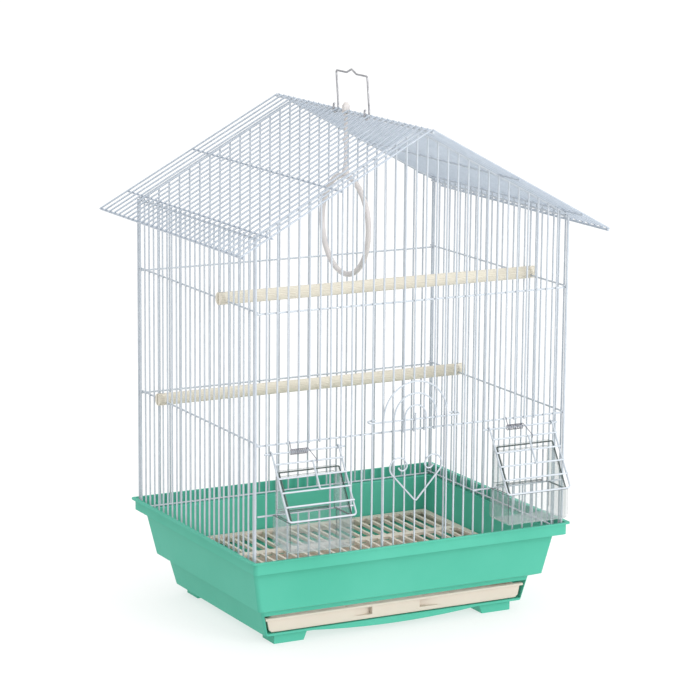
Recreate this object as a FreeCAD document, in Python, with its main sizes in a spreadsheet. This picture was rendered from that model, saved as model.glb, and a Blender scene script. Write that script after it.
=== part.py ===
import FreeCAD, Part
import Sketcher
import math
import os
from types import SimpleNamespace

# Bird cage: a wire cage with a pitched roof that stands in the rim of a plastic tub.
# Millimetres, +Z up, the front with its sliding door towards -Y. The feet stand on Z = 0
# and the origin lies under the middle of the cage's box.

V = FreeCAD.Vector
doc = FreeCAD.newDocument("bird_cage")
sheet = doc.addObject("Spreadsheet::Sheet", "Sheet")

# Driving dimensions
SIZES = {
    # Wire
    "wire_diameter": 1.8,
    "frame_wire_diameter": 2.4,
    "door_wire_diameter": 1.6,
    "spring_wire_diameter": 1.0,
    "handle_wire_diameter": 2.0,
    "wire_sides": 8,
    "bend_step": 30.0,
    "clearance": 0.3,
    "overrun": 5.0,
    # Tub: feet, lower wall round the tray, ledge for the grille, main wall, rim
    "foot_height": 10.0,
    "foot_inset_side": 10.8,
    "foot_inset_front": 5.0,
    "foot_length": 36.5,
    "foot_width": 25.0,
    "foot_slope": 4.5,
    "apron_length": 181.0,
    "apron_drop": 4.4,
    "tub_wall": 2.2,
    "corner_radius": 4.0,
    "lower_wall_height": 25.0,
    "lower_flare_side": 6.2,
    "lower_flare_front": 3.4,
    "ledge_rise": 4.5,
    "ledge_side": 8.5,
    "ledge_front": 11.9,
    "main_wall_height": 43.0,
    "main_flare_side": 8.8,
    "main_flare_front": 6.9,
    "wall_inset_side": 2.2,
    "wall_inset_front": 6.2,
    "shelf_thickness": 1.5,
    "rim_margin_side": 3.6,
    "rim_margin_front": 7.0,
    "lip_height": 10.5,
    "lip_thickness": 1.2,
    "flange_side": 3.4,
    "flange_front": 1.4,
    "flange_thickness": 1.6,
    # Tray and its slot
    "slot_post": 2.2,
    "slot_head": 4.0,
    "tray_gap": 0.6,
    "tray_head_gap": 3.6,
    "tray_wall": 1.8,
    "tray_side_gap": 4.0,
    "tray_length": 198.0,
    "tray_lip_height": 2.4,
    "tray_lip_reach": 2.2,
    "plate_thickness": 2.4,
    "plate_recess": 1.6,
    "plate_inset": 2.1,
    "plate_flare": 2.1,
    "plate_corner": 3.0,
    "grip_tab_width": 53.0,
    "grip_length": 24.0,
    "grip_depth": 5.5,
    "grip_sill": 4.5,
    # Floor grille
    "grille_gap": 1.0,
    "grille_height": 9.0,
    "grille_plate": 3.0,
    "grille_skirt": 2.0,
    "grille_frame": 8.0,
    "grille_slots": 22,
    "grille_bar": 3.0,
    "grille_band": 10.0,
    "grille_band_place": 38.0,
    # Wire cage
    "body_width": 335.0,
    "body_depth": 264.0,
    "front_wires": 31,
    "side_wires": 25,
    "bottom_ring_rise": 2.5,
    "middle_ring_rise": 121.0,
    "upper_ring_rise": 245.4,
    # Roof
    "ridge_rise": 410.1,
    "roof_drop": 106.0,
    "roof_reach": 197.5,
    "roof_length": 325.0,
    "roof_wires": 30,
    "roof_wire_inset": 2.2,
    "middle_wire_share": 0.48,
    # Door
    "door_first_wire": 12,
    "door_pitch": 11.47,
    "door_arch_rise": 133.3,
    "guide_height": 128.2,
    "guide_loop_reach": 5.3,
    "guide_tail": 7.0,
    "guide_play": 1.0,
    "stub_rise": 6.3,
    "door_foot": 1.5,
    "heart_point_rise": 51.4,
    "heart_lobe_rise": 34.6,
    "heart_lobe_reach": 18.9,
    "heart_lobe_radius": 9.4,
    "heart_curl": 165.0,
    "heart_scroll_radius": 4.7,
    "heart_scroll": 180.0,
    "heart_point_radius": 2.0,
    # Feeders: hinge wire, flap, spring, cup
    "feeder_first_wire": 3,
    "feeder_last_wire": 6,
    "hinge_rise": 112.0,
    "sill_rise": 53.4,
    "hinge_wire_end": 3.0,
    "flap_width": 70.4,
    "flap_length": 68.2,
    "flap_angle": 32.4,
    "flap_bars": 4,
    "flap_bar_pitch": 14.6,
    "flap_corner_radius": 5.0,
    "flap_curl": 180.0,
    "flap_rib_place": 5.3,
    "flap_rib_pitches": 2,
    "spring_diameter": 6.0,
    "spring_length": 18.2,
    "spring_start": 15.0,
    "spring_turns": 9,
    "spring_turn_arcs": 2,
    "spring_bend": 1.4,
    "spring_leg_shift": 4.6,
    "spring_samples": 12,
    "cup_width": 67.6,
    "cup_depth": 35.5,
    "cup_height": 30.5,
    "cup_wall": 1.6,
    "cup_radius": 5.0,
    "cup_lip": 5.0,
    "hood_inset": 2.3,
    "hood_rise": 42.0,
    "hood_top_depth": 8.0,
    "hood_band": 6.0,
    "cup_hook_width": 50.0,
    "cup_hook_thickness": 1.8,
    "cup_hook_reach": 2.4,
    # Perches
    "perch_diameter": 12.0,
    "perch_reach": 6.0,
    "perch_rise": 2.4,
    "upper_perch_wire": 6,
    "lower_perch_wire": 19,
    # Swing
    "hoop_diameter": 98.0,
    "hoop_thickness": 5.5,
    "hoop_step": 18.0,
    "swing_drop": 114.0,
    "hanger_height": 16.0,
    "hanger_width": 6.4,
    "hanger_thickness": 4.5,
    "hanger_stem": 2.6,
    "hanger_eye_drop": 26.5,
    "hanger_eye": 6.0,
    # Handle
    "handle_span": 64.0,
    "handle_rise": 39.0,
    "handle_crown": 4.0,
    "handle_dip": 10.0,
    "handle_tail": 3.0,
}


def work_out(s):
    """Adds the sizes and places that follow from the driving dimensions."""
    s.floor_level = s.foot_height
    s.floor_top = s.floor_level + s.tub_wall
    s.ledge_foot = s.floor_level + s.lower_wall_height
    s.ledge_top = s.ledge_foot + s.ledge_rise
    s.seat_level = s.ledge_top + s.main_wall_height + s.shelf_thickness
    s.wall_top = s.seat_level - s.shelf_thickness
    s.rim_top = s.seat_level + s.lip_height
    s.half_width = s.body_width / 2
    s.half_depth = s.body_depth / 2

    # Tub outlines from the top down, outside and inside
    for way, half, flare_main, ledge, flare_lower, inset, margin in (
            ("width", s.half_width, s.main_flare_side, s.ledge_side, s.lower_flare_side,
             s.wall_inset_side, s.rim_margin_side),
            ("depth", s.half_depth, s.main_flare_front, s.ledge_front, s.lower_flare_front,
             s.wall_inset_front, s.rim_margin_front)):
        wall = half - inset
        steps = (flare_main, ledge, flare_lower)
        levels = [wall, wall - steps[0], wall - sum(steps[:2]), wall - sum(steps)]
        for name, level in zip(("wall", "ledge", "lower", "base"), levels):
            setattr(s, f"{name}_{way}", 2 * level)
            setattr(s, f"{name}_inner_{way}", 2 * (level - s.tub_wall))
        setattr(s, f"rim_{way}", 2 * (half + margin))
        setattr(s, f"rim_inner_{way}", 2 * (half + margin - s.lip_thickness))
    s.flange_width = s.rim_width + 2 * s.flange_side
    s.flange_depth = s.rim_depth + 2 * s.flange_front
    s.flange_level = s.rim_top - s.flange_thickness
    s.ledge_foot_inner = s.ledge_foot + s.tub_wall
    s.ledge_top_inner = s.ledge_top + s.tub_wall
    s.rim_height = s.rim_top - s.wall_top
    s.base_half_width = s.base_width / 2
    s.base_half_depth = s.base_depth / 2
    s.sole = 0.0
    s.foot_root = s.floor_level + s.tub_wall / 2
    s.foot_outer = s.base_half_width - s.foot_inset_side
    s.foot_inner = s.foot_outer - s.foot_length
    s.foot_toe = s.foot_inner + s.foot_slope
    s.foot_front = s.base_half_depth - s.foot_inset_front
    s.apron_half = s.apron_length / 2
    s.apron_radius = (s.apron_half ** 2 + s.apron_drop ** 2) / (2 * s.apron_drop)

    # Slot in the lower front wall, and the tray in it
    s.slot_top = s.ledge_foot - s.slot_head
    lower_slope = s.lower_flare_side / s.lower_wall_height
    s.slot_bottom_half = s.base_half_width + s.tub_wall * lower_slope - s.slot_post
    s.slot_top_half = s.slot_bottom_half + (s.slot_top - s.floor_top) * lower_slope
    s.slot_depth = s.lower_depth / 2 + s.overrun
    s.slot_length = s.lower_depth / 2 - s.base_inner_depth / 2 + 2 * s.overrun
    s.tray_bottom = s.floor_top + s.clearance
    s.tray_top = s.slot_top - s.tray_head_gap
    s.tray_height = s.tray_top - s.tray_bottom
    s.tray_lip_level = s.tray_top - s.tray_lip_height
    s.tray_lip_half = (s.slot_bottom_half + (s.tray_lip_level - s.floor_top) * lower_slope
                       - s.tray_gap)
    s.plate_bottom_half = s.slot_bottom_half - s.plate_inset
    s.plate_top_half = s.plate_bottom_half + s.plate_flare
    s.plate_foot_half = s.plate_bottom_half - s.plate_corner
    s.plate_corner_top = s.tray_bottom + s.plate_corner
    s.plate_front = s.base_half_depth - s.plate_recess
    s.tray_lip_front = s.plate_front + s.tray_lip_reach
    s.tray_half = s.plate_bottom_half - s.tray_side_gap
    s.tray_front = s.plate_front - s.plate_thickness
    s.tray_back = s.tray_length - s.tray_front
    s.bay_half = s.tray_half - s.tray_wall
    s.bay_front = s.tray_front
    s.bay_back = s.tray_back - s.tray_wall
    s.tray_bay_height = s.tray_height - s.tray_wall
    s.grip_inner = s.grip_tab_width / 2
    s.grip_outer = s.grip_inner + s.grip_length
    s.grip_block = s.grip_outer + s.tray_wall
    s.grip_wall = s.plate_front - s.grip_depth - s.tray_wall
    s.grip_front = s.plate_front + s.overrun
    s.grip_back = s.plate_front - s.grip_depth
    s.grip_top = s.tray_lip_level
    s.grip_height = s.grip_top - s.tray_bottom - s.grip_sill

    # Floor grille on the tub's ledge
    s.grille_bottom = s.ledge_top_inner + s.clearance
    s.grille_width = s.ledge_inner_width - 2 * s.grille_gap
    s.grille_depth = s.ledge_inner_depth - 2 * s.grille_gap
    s.skirt_half_width = s.grille_width / 2 - s.grille_skirt
    s.skirt_half_depth = s.grille_depth / 2 - s.grille_skirt
    s.grille_skirt_height = s.grille_height - s.grille_plate
    s.grille_top = s.grille_bottom + s.grille_height
    s.grille_slot_cut = s.grille_plate + s.grille_skirt_height / 2
    field = s.grille_width - 2 * s.grille_frame
    s.grille_pitch = (field + s.grille_bar) / s.grille_slots
    s.grille_slot = s.grille_pitch - s.grille_bar
    s.grille_start = -field / 2
    s.grille_start_end = s.grille_start + s.grille_slot
    s.grille_pattern = s.grille_pitch * (s.grille_slots - 1)
    s.grille_row_inner = s.grille_band_place - s.grille_band / 2
    s.grille_row_outer = s.grille_band_place + s.grille_band / 2
    s.grille_row_end = s.grille_depth / 2 - s.grille_frame

    # Wire cage: wires stand in the front plane, rings cross them on the inside
    wire = s.wire_diameter
    s.wire_radius = wire / 2
    s.corner_shift = (s.frame_wire_diameter - wire) / 2
    s.corner_x = s.half_width + s.corner_shift
    s.corner_y = s.half_depth + s.corner_shift
    s.front_pitch = s.body_width / (s.front_wires - 1)
    s.ring_plane_front = s.half_depth - wire
    s.ring_plane_side = s.half_width - wire
    s.side_end = s.ring_plane_front - wire - s.clearance
    s.side_pitch = 2 * s.side_end / (s.side_wires - 1)
    s.ring_step = (wire + s.clearance) / 2
    s.wire_foot = s.seat_level + s.clearance
    s.bottom_ring = s.seat_level + s.bottom_ring_rise
    s.middle_ring = s.seat_level + s.middle_ring_rise
    s.upper_ring = s.seat_level + s.upper_ring_rise
    s.cut_top = s.middle_ring - s.ring_step - wire

    # Roof: the slope wires' middles lie on two planes that meet over the ridge wire
    s.apex = s.seat_level + s.ridge_rise
    s.roof_slope = s.roof_drop / s.roof_reach
    s.roof_angle = math.degrees(math.atan(s.roof_slope))
    s.roof_cos = math.cos(math.radians(s.roof_angle))
    s.roof_sin = math.sin(math.radians(s.roof_angle))
    s.slope_start = s.wire_radius * s.roof_slope + s.clearance / 2 / s.roof_cos
    s.slope_length = s.roof_reach / s.roof_cos - s.slope_start
    s.roof_pitch = (s.roof_length - 2 * s.roof_wire_inset - wire) / (s.roof_wires - 1)
    s.roof_first_wire = -s.roof_length / 2 + s.roof_wire_inset + s.wire_radius
    s.ridge_offset = (wire + s.frame_wire_diameter) / 2 + s.clearance
    s.ridge_level = s.apex - s.ridge_offset / s.roof_cos
    s.eave_place = s.roof_reach / s.roof_cos - s.frame_wire_diameter
    s.middle_place = s.middle_wire_share * s.roof_reach / s.roof_cos
    s.wall_cross_x = s.half_width - wire - s.clearance
    s.wall_place = (s.wall_cross_x + wire * s.roof_sin) / s.roof_cos
    s.gable_offset = 2 * wire + s.clearance
    s.gable_drop = s.gable_offset / s.roof_cos
    s.gable_start = s.frame_wire_diameter
    s.gable_length = s.corner_x / s.roof_cos - s.gable_start - wire * s.roof_slope
    s.gable_wire_top = s.ridge_level - s.frame_wire_diameter / 2 - s.clearance
    s.side_wire_top = s.apex - s.half_width * s.roof_slope - wire / s.roof_cos
    s.side_rail = s.side_wire_top - 2 * wire

    # Feeders
    s.feeder_x = s.half_width - s.front_pitch * (s.feeder_first_wire + s.feeder_last_wire) / 2
    s.hinge_plane = s.half_depth + wire
    s.hinge_level = s.seat_level + s.hinge_rise
    s.hinge_half = (s.feeder_last_wire - s.feeder_first_wire + 4) / 2 * s.front_pitch + s.hinge_wire_end
    s.sill_level = s.seat_level + s.sill_rise
    s.sill_top = s.sill_level + s.wire_radius
    s.sill_outer = s.corner_x - s.frame_wire_diameter / 2 - s.clearance
    s.sill_inner = (s.feeder_x - (s.feeder_last_wire - s.feeder_first_wire + 6) / 2 * s.front_pitch
                    - wire)
    s.flap_loop = wire + s.clearance / 2
    s.flap_cos = math.cos(math.radians(s.flap_angle))
    s.flap_sin = math.sin(math.radians(s.flap_angle))
    s.cup_back = s.hinge_plane + s.wire_radius + s.clearance
    s.cup_front = s.cup_back + s.cup_depth
    s.cup_top = s.sill_top - s.clearance
    s.cup_bottom = s.cup_top - s.cup_height
    s.hood_top = s.cup_top + s.hood_rise
    s.cup_half = s.cup_width / 2
    s.cup_bay_half = s.cup_half - s.cup_wall
    s.cup_bay_front = s.cup_front - s.cup_wall
    s.cup_bay_back = s.cup_back + s.cup_wall
    s.cup_bay_height = s.cup_height - s.cup_wall
    s.hood_half = s.cup_half - s.hood_inset
    s.hood_width = 2 * s.hood_half
    s.hood_root = s.cup_top - s.cup_wall
    s.hood_front_top = s.cup_back + s.hood_top_depth
    s.hood_front_foot = s.hood_front_top + s.hood_rise * s.flap_sin / s.flap_cos
    s.mouth_half = s.hood_half - s.cup_wall
    s.mouth_top = s.hood_top - s.hood_band
    s.cup_front_past = s.cup_front + s.overrun
    s.mouth_depth = s.cup_front_past - s.cup_bay_back
    s.window_bottom = s.cup_top + s.cup_lip
    s.window_depth = s.mouth_depth + s.cup_wall + s.overrun
    s.hook_half = s.cup_hook_width / 2
    s.hook_bottom = s.sill_top + s.clearance
    s.hook_root = s.cup_bay_back
    s.hook_end = s.cup_back - s.cup_hook_reach

    # Door
    s.guide_plane = s.half_depth + (wire + s.door_wire_diameter) / 2 + s.clearance
    s.door_plane = s.guide_plane + s.door_wire_diameter
    s.heart_plane = s.door_plane + s.door_wire_diameter
    s.guide_back = s.half_depth - (wire + s.door_wire_diameter) / 2 - s.clearance
    s.guide_rise = (s.guide_plane - s.guide_back) / 2 - s.clearance
    s.lower_guide = (s.bottom_ring - s.ring_step + (wire + s.door_wire_diameter) / 2
                     + s.guide_play - s.guide_rise)
    s.upper_guide = s.lower_guide + s.guide_height
    s.door_bottom = s.lower_guide - s.door_foot
    s.arch_centre = s.seat_level + s.door_arch_rise

    # Perches and swing
    s.perch_half = s.half_width + s.perch_reach
    s.swing_y = s.roof_first_wire + (s.roof_wires / 2 + 0.5) * s.roof_pitch

    # Reach to the front and the back, whose middle is the origin
    reach_front = (s.hinge_plane + s.flap_length * s.flap_sin + s.flap_loop * s.flap_cos
                   + s.wire_radius)
    s.stand_y = (reach_front - s.roof_length / 2) / 2
    return s


def fill_sheet(values):
    """Writes every size into the sheet as plain text with its name as the alias."""
    for row, (name, value) in enumerate(vars(values).items(), start=1):
        sheet.set(f"A{row}", name)
        sheet.set(f"B{row}", repr(value))
        sheet.setAlias(f"B{row}", name)
    doc.recompute()


class Cells:
    """Reads a size back from the sheet by its alias."""

    def __getattr__(self, name):
        return float(sheet.get(name))


fill_sheet(work_out(SimpleNamespace(**SIZES)))
c = Cells()
TINY = 1e-6
NODES = []


def stand(part, x=0.0):
    """Places a finished sub-part: the cage's middle lies behind the origin."""
    part.Placement = FreeCAD.Placement(V(x, c.stand_y, 0), FreeCAD.Rotation())
    NODES.append(part)
    return part


# Straight wires

TWIST = 180 / c.wire_sides
FACETS = FreeCAD.Rotation(V(0, 0, 1), TWIST)
TURNS = {
    "x": FreeCAD.Rotation(V(0, 1, 0), 90) * FACETS,
    "y": FreeCAD.Rotation(V(1, 0, 0), -90) * FACETS,
    "z": FACETS,
    "right_slope": FreeCAD.Rotation(V(0, 1, 0), 90 + c.roof_angle) * FACETS,
    "left_slope": FreeCAD.Rotation(V(0, 1, 0), -90 - c.roof_angle) * FACETS,
}
for hand, tilt in (("right", c.roof_angle), ("left", -c.roof_angle)):
    TURNS[f"{hand}_cross"] = FreeCAD.Rotation(V(0, 1, 0), tilt) * TURNS["y"]


def rod(turn, at, length, diameter="wire_diameter"):
    """One straight wire with flat sides, so that crossing wires meet face to face."""
    wire = doc.addObject("Part::Prism", "wire")
    wire.setExpression("Polygon", "Sheet.wire_sides")
    wire.setExpression("Circumradius", f"Sheet.{diameter} / 2 / cos(180 / Sheet.wire_sides)")
    wire.setExpression("Height", length)
    wire.Placement = FreeCAD.Placement(V(), TURNS[turn])
    for axis, place in zip("xyz", at):
        wire.setExpression(f"Placement.Base.{axis}", place)
    return wire


def upright(x, y, bottom, top, diameter="wire_diameter"):
    """A vertical wire between two heights."""
    return rod("z", (x, y, bottom), f"{top} - ({bottom})", diameter)


def welded(label, wires):
    """Puts the wires of one welded piece into a node."""
    group = doc.addObject("Part::Compound", label)
    group.Label = label
    group.Links = wires
    return stand(group)


def front_x(k):
    """Place of the front panel's wire k across the cage."""
    return f"Sheet.front_pitch * ({k} - (Sheet.front_wires - 1) / 2)"


def gable_panel(label, side, gaps):
    """Front or back panel: uprights that rise to the roof, three rings and two gable wires."""
    wires = []
    last = int(c.front_wires) - 1
    for k in range(last + 1):
        x = front_x(k)
        top = f"Sheet.gable_wire_top - abs({x}) * Sheet.roof_slope"
        if k in (0, last):
            corner = "-Sheet.corner_x" if k == 0 else "Sheet.corner_x"
            corner_top = "Sheet.gable_wire_top - Sheet.corner_x * Sheet.roof_slope"
            wires.append(upright(corner, f"{side} * Sheet.corner_y", "Sheet.wire_foot", corner_top,
                                 "frame_wire_diameter"))
            continue
        for bottom, head in gaps(k):
            wires.append(upright(x, f"{side} * Sheet.half_depth", bottom, head or top))
    for ring in ("bottom_ring", "middle_ring", "upper_ring"):
        wires.append(rod("x", ("-Sheet.corner_x", f"{side} * Sheet.ring_plane_front",
                               f"Sheet.{ring} - Sheet.ring_step"), "2 * Sheet.corner_x"))
    for way, hand in ((1, "right"), (-1, "left")):
        wires.append(rod(f"{hand}_slope", (
            f"{way} * Sheet.gable_start * Sheet.roof_cos", f"{side} * Sheet.ring_plane_front",
            "Sheet.apex - Sheet.gable_drop - Sheet.gable_start * Sheet.roof_sin"),
            "Sheet.gable_length"))
    return welded(label, wires)


def front_gaps(k):
    """The stretches of upright k that the door and feeder openings leave."""
    mirrored = min(k, int(c.front_wires) - 1 - k)
    if mirrored > c.door_first_wire:
        return [("Sheet.cut_top", None)]
    if c.feeder_first_wire <= mirrored <= c.feeder_last_wire:
        return [("Sheet.wire_foot", "Sheet.sill_top"), ("Sheet.cut_top", None)]
    return [("Sheet.wire_foot", None)]


def side_panel(label, way):
    """Side panel: uprights under the roof, three rings and the rail under the eave."""
    wires = []
    for k in range(int(c.side_wires)):
        wires.append(upright(f"{way} * Sheet.half_width", f"Sheet.side_pitch * {k} - Sheet.side_end",
                             "Sheet.wire_foot", "Sheet.side_wire_top"))
    for level in ("Sheet.bottom_ring + Sheet.ring_step", "Sheet.middle_ring + Sheet.ring_step",
                  "Sheet.upper_ring + Sheet.ring_step", "Sheet.side_rail"):
        wires.append(rod("y", (f"{way} * Sheet.ring_plane_side", "-Sheet.corner_y", level),
                         "2 * Sheet.corner_y"))
    return welded(label, wires)


def roof_panel(label, hand, way):
    """One pitch of the roof: slope wires over a middle, a wall and an eave cross wire."""
    wires = []
    for k in range(int(c.roof_wires)):
        wires.append(rod(f"{hand}_slope", (
            f"{way} * Sheet.slope_start * Sheet.roof_cos",
            f"Sheet.roof_first_wire + {k} * Sheet.roof_pitch",
            "Sheet.apex - Sheet.slope_start * Sheet.roof_sin"), "Sheet.slope_length"))
    for place, diameter in (("middle_place", "wire_diameter"), ("wall_place", "wire_diameter"),
                            ("eave_place", "frame_wire_diameter")):
        offset = f"(Sheet.wire_diameter + Sheet.{diameter}) / 2"
        wires.append(rod(f"{hand}_cross", (
            f"{way} * (Sheet.{place} * Sheet.roof_cos - {offset} * Sheet.roof_sin)",
            "-Sheet.roof_length / 2",
            f"Sheet.apex - Sheet.{place} * Sheet.roof_sin - {offset} * Sheet.roof_cos"),
            "Sheet.roof_length", diameter))
    return welded(label, wires)


gable_panel("front_panel", -1, front_gaps)
gable_panel("back_panel", 1, lambda k: [("Sheet.wire_foot", None)])
side_panel("left_side_panel", -1)
side_panel("right_side_panel", 1)
roof_panel("left_roof_panel", "left", -1)
roof_panel("right_roof_panel", "right", 1)
welded("ridge_wire", [rod("y", ("0", "-Sheet.roof_length / 2", "Sheet.ridge_level"),
                          "Sheet.roof_length", "frame_wire_diameter")])

for hand, way in (("left", -1), ("right", 1)):
    welded(f"{hand}_hinge_wire", [rod("x", (
        f"{way} * Sheet.feeder_x - Sheet.hinge_half", "-Sheet.hinge_plane", "Sheet.hinge_level"),
        "2 * Sheet.hinge_half")])
    sill_start = "-Sheet.sill_outer" if way < 0 else "Sheet.sill_inner"
    welded(f"{hand}_feeder_sill", [rod("x", (sill_start, "-Sheet.hinge_plane", "Sheet.sill_level"),
                                       "Sheet.sill_outer - Sheet.sill_inner")])


# Bent wires: their arcs are short straight chords, mitred where they meet

def section(at, along, diameter, flat):
    """The wire's outline square to its path, with flat sides along and across a direction."""
    first = along.cross(flat).normalize()
    second = first.cross(along).normalize()
    sides = int(c.wire_sides)
    reach = diameter / 2 / math.cos(math.pi / sides)
    turns = [math.tau * (k + 0.5) / sides for k in range(sides + 1)]
    return Part.makePolygon([at + first * (reach * math.cos(turn)) + second * (reach * math.sin(turn))
                             for turn in turns])


def tube(points, diameter, flat=V(0, 1, 0)):
    """A wire of one thickness along its points, its first run square to the flat direction."""
    outline = section(points[0], points[1] - points[0], diameter, flat)
    solid = Part.makePolygon(points).makePipeShell([outline], True, False, 1)
    if solid.Volume < 0:
        solid.reverse()
    return solid


def arc(centre, first, second, start, end, step=c.bend_step):
    """Points of an arc about a centre: two radii at right angles, and two angles in degrees."""
    steps = max(1, round(abs(end - start) / step))
    turns = [math.radians(start + (end - start) * k / steps) for k in range(steps + 1)]
    return [centre + first * math.cos(turn) + second * math.sin(turn) for turn in turns]


def bend(points, radius):
    """The points with each inner corner rounded to the radius."""
    path = [points[0]]
    for before, corner, after in zip(points, points[1:], points[2:]):
        back = (before - corner).normalize()
        ahead = (after - corner).normalize()
        half = back.getAngle(ahead) / 2
        centre = corner + (back + ahead).normalize() * (radius / math.sin(half))
        first = corner + back * (radius / math.tan(half)) - centre
        path += arc(centre, first, back * -radius, 0, 180 - 2 * math.degrees(half))
    path.append(points[-1])
    return [point for k, point in enumerate(path) if k == 0 or (point - path[k - 1]).Length > TINY]


def shaped(label, solids):
    """A node whose solids are bent wires."""
    part = doc.addObject("Part::Feature", label)
    part.Label = label
    part.Shape = solids[0] if len(solids) == 1 else Part.makeCompound(solids)
    return stand(part)


def door_wires():
    """Three hairpins one inside the other and the short middle wire."""
    wires = []
    for ring in (3, 2, 1):
        half = ring * c.door_pitch
        top = c.arch_centre + half
        points = [V(-half, -c.door_plane, c.door_bottom), V(-half, -c.door_plane, top),
                  V(half, -c.door_plane, top), V(half, -c.door_plane, c.door_bottom)]
        wires.append(tube(bend(points, half), c.door_wire_diameter))
    stub_top = c.upper_guide + c.stub_rise
    wires.append(tube([V(0, -c.door_plane, c.door_bottom), V(0, -c.door_plane, stub_top)],
                      c.door_wire_diameter))
    shaped("door_wires", wires)


def door_guide(label, level):
    """Cross wire whose ends loop round a panel wire each and guide the door."""
    runner = c.front_pitch * (int(c.front_wires - 1) // 2 - c.door_first_wire + 1)
    behind = V(0, (c.guide_plane - c.guide_back) / 2, c.guide_rise / 2)
    loop = behind.Length
    turn_x = runner + c.guide_loop_reach - c.door_wire_diameter / 2 - loop
    middle = V(0, -(c.guide_plane + c.guide_back) / 2, level + c.guide_rise / 2)
    path = []
    for way in (-1, 1):
        ahead = V(way, 0, 0)
        turn = arc(middle + ahead * turn_x, behind, ahead * loop, 0, 180)
        end = [middle + ahead * (turn_x - c.guide_tail) + behind] + turn
        path += end if way < 0 else reversed(end)
    shaped(label, [tube(path, c.door_wire_diameter)])


def door_heart():
    """Heart of one wire: a point at the bottom and two lobes whose ends scroll inwards."""
    reach, rise, radius = c.heart_lobe_reach, c.heart_lobe_rise, c.heart_lobe_radius
    point = V(0, -c.heart_plane, c.seat_level + c.heart_point_rise)
    lean = math.degrees(math.atan2(reach, rise) + math.asin(radius / math.hypot(reach, rise)))
    curl, small = math.radians(c.heart_curl), c.heart_scroll_radius
    lobes = []
    for way in (-1, 1):
        centre = point + V(way * reach, 0, rise)
        inner = centre + V(way * math.cos(curl), 0, math.sin(curl)) * (radius - small)
        lobe = arc(centre, V(way * radius, 0, 0), V(0, 0, radius), -lean, c.heart_curl)
        lobes.append(lobe + arc(inner, V(way * small, 0, 0), V(0, 0, small), c.heart_curl,
                                c.heart_curl + c.heart_scroll)[1:])
    left, right = lobes
    tip = bend([left[0], point, right[0]], c.heart_point_radius)
    shaped("door_heart", [tube(left[:0:-1] + tip + right[1:], c.door_wire_diameter)])


def feeder_flap(hand, way):
    """Flap: a frame that loops over the hinge wire, and on its outer face the bars and a rib."""
    hinge = V(way * c.feeder_x, -c.hinge_plane, c.hinge_level)
    down = V(0, -c.flap_sin, -c.flap_cos)
    out = V(0, -c.flap_cos, c.flap_sin)
    half = V(c.flap_width / 2, 0, 0)
    top = hinge + out * c.flap_loop
    foot = top + down * c.flap_length
    frame = bend([top - half, foot - half, foot + half, top + half], c.flap_corner_radius)
    loops = [arc(hinge + side, out * c.flap_loop, down * -c.flap_loop, 0, c.flap_curl)
             for side in (-half, half)]
    path = loops[0][:0:-1] + frame + loops[1][1:]
    shaped(f"{hand}_flap_frame", [tube(path, c.wire_diameter, V(1, 0, 0))])

    over = out * c.wire_diameter
    past = V(c.wire_radius, 0, 0)
    places = [c.flap_length - (k + 1) * c.flap_bar_pitch for k in range(int(c.flap_bars))]
    bars = [tube([top + down * place + over - half - past, top + down * place + over + half + past],
                 c.wire_diameter, out) for place in places]
    rib = top + over * 2 + V(c.flap_rib_place, 0, 0)
    rib_end = places[-1] + c.flap_rib_pitches * c.flap_bar_pitch + c.wire_radius
    bars.append(tube([rib + down * places[-1], rib + down * rib_end],
                     c.wire_diameter, out))
    shaped(f"{hand}_flap_bars", bars)


def carry_handle():
    """Wire handle over the ridge: its legs hook round the ridge wire and end in short tails."""
    half = c.handle_span / 2
    wire = c.handle_wire_diameter
    loop = (c.frame_wire_diameter + wire) / 2 + c.clearance
    ridge = V(0, 0, c.ridge_level)
    top = c.handle_rise
    hooks = []
    for side in (-1, 1):
        y = side * half
        leg = ridge + V(0, y, 0)
        turn = arc(leg, V(loop, 0, 0), V(0, 0, -loop), 0, 180)
        rise = c.apex + c.wire_diameter + wire - c.ridge_level
        hooks.append([leg + V(-loop, -c.handle_tail, rise), leg + V(-loop, 0, rise)] + turn[::-1]
                     + [leg + V(loop, 0, rise)])
    crown = [V(0, -half, top), V(0, -c.handle_dip, top), V(0, 0, top + c.handle_crown),
             V(0, c.handle_dip, top), V(0, half, top)]
    path = hooks[0] + [ridge + point for point in crown] + hooks[1][::-1]
    shaped("carry_handle", [tube(path, wire, V(1, 0, 0))])


def leg_edges(points, radius):
    """Straight and round edges of a spring's leg: its inner corners turn on the radius."""
    edges = []
    start = points[0]
    for before, corner, after in zip(points, points[1:], points[2:]):
        back = (before - corner).normalize()
        ahead = (after - corner).normalize()
        half = back.getAngle(ahead) / 2
        middle = corner + (back + ahead).normalize() * (radius / math.sin(half) - radius)
        turn_start = corner + back * (radius / math.tan(half))
        turn_end = corner + ahead * (radius / math.tan(half))
        edges.append(Part.LineSegment(start, turn_start).toShape())
        edges.append(Part.Arc(turn_start, middle, turn_end).toShape())
        start = turn_end
    edges.append(Part.LineSegment(start, points[-1]).toShape())
    return edges


def least_gap(edges, diameter):
    """Smallest gap between two stretches of a wire that lie more than a few diameters apart on it."""
    places, run = [], 0.0
    for edge in edges:
        for point in edge.discretize(int(c.spring_samples))[:-1]:
            places.append((run, point))
            run += edge.Length / (c.spring_samples - 1)
    apart = math.pi * diameter
    return min((first - second).Length for k, (at, first) in enumerate(places)
               for other, second in places[k + 1:] if other - at > apart) - diameter


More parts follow.
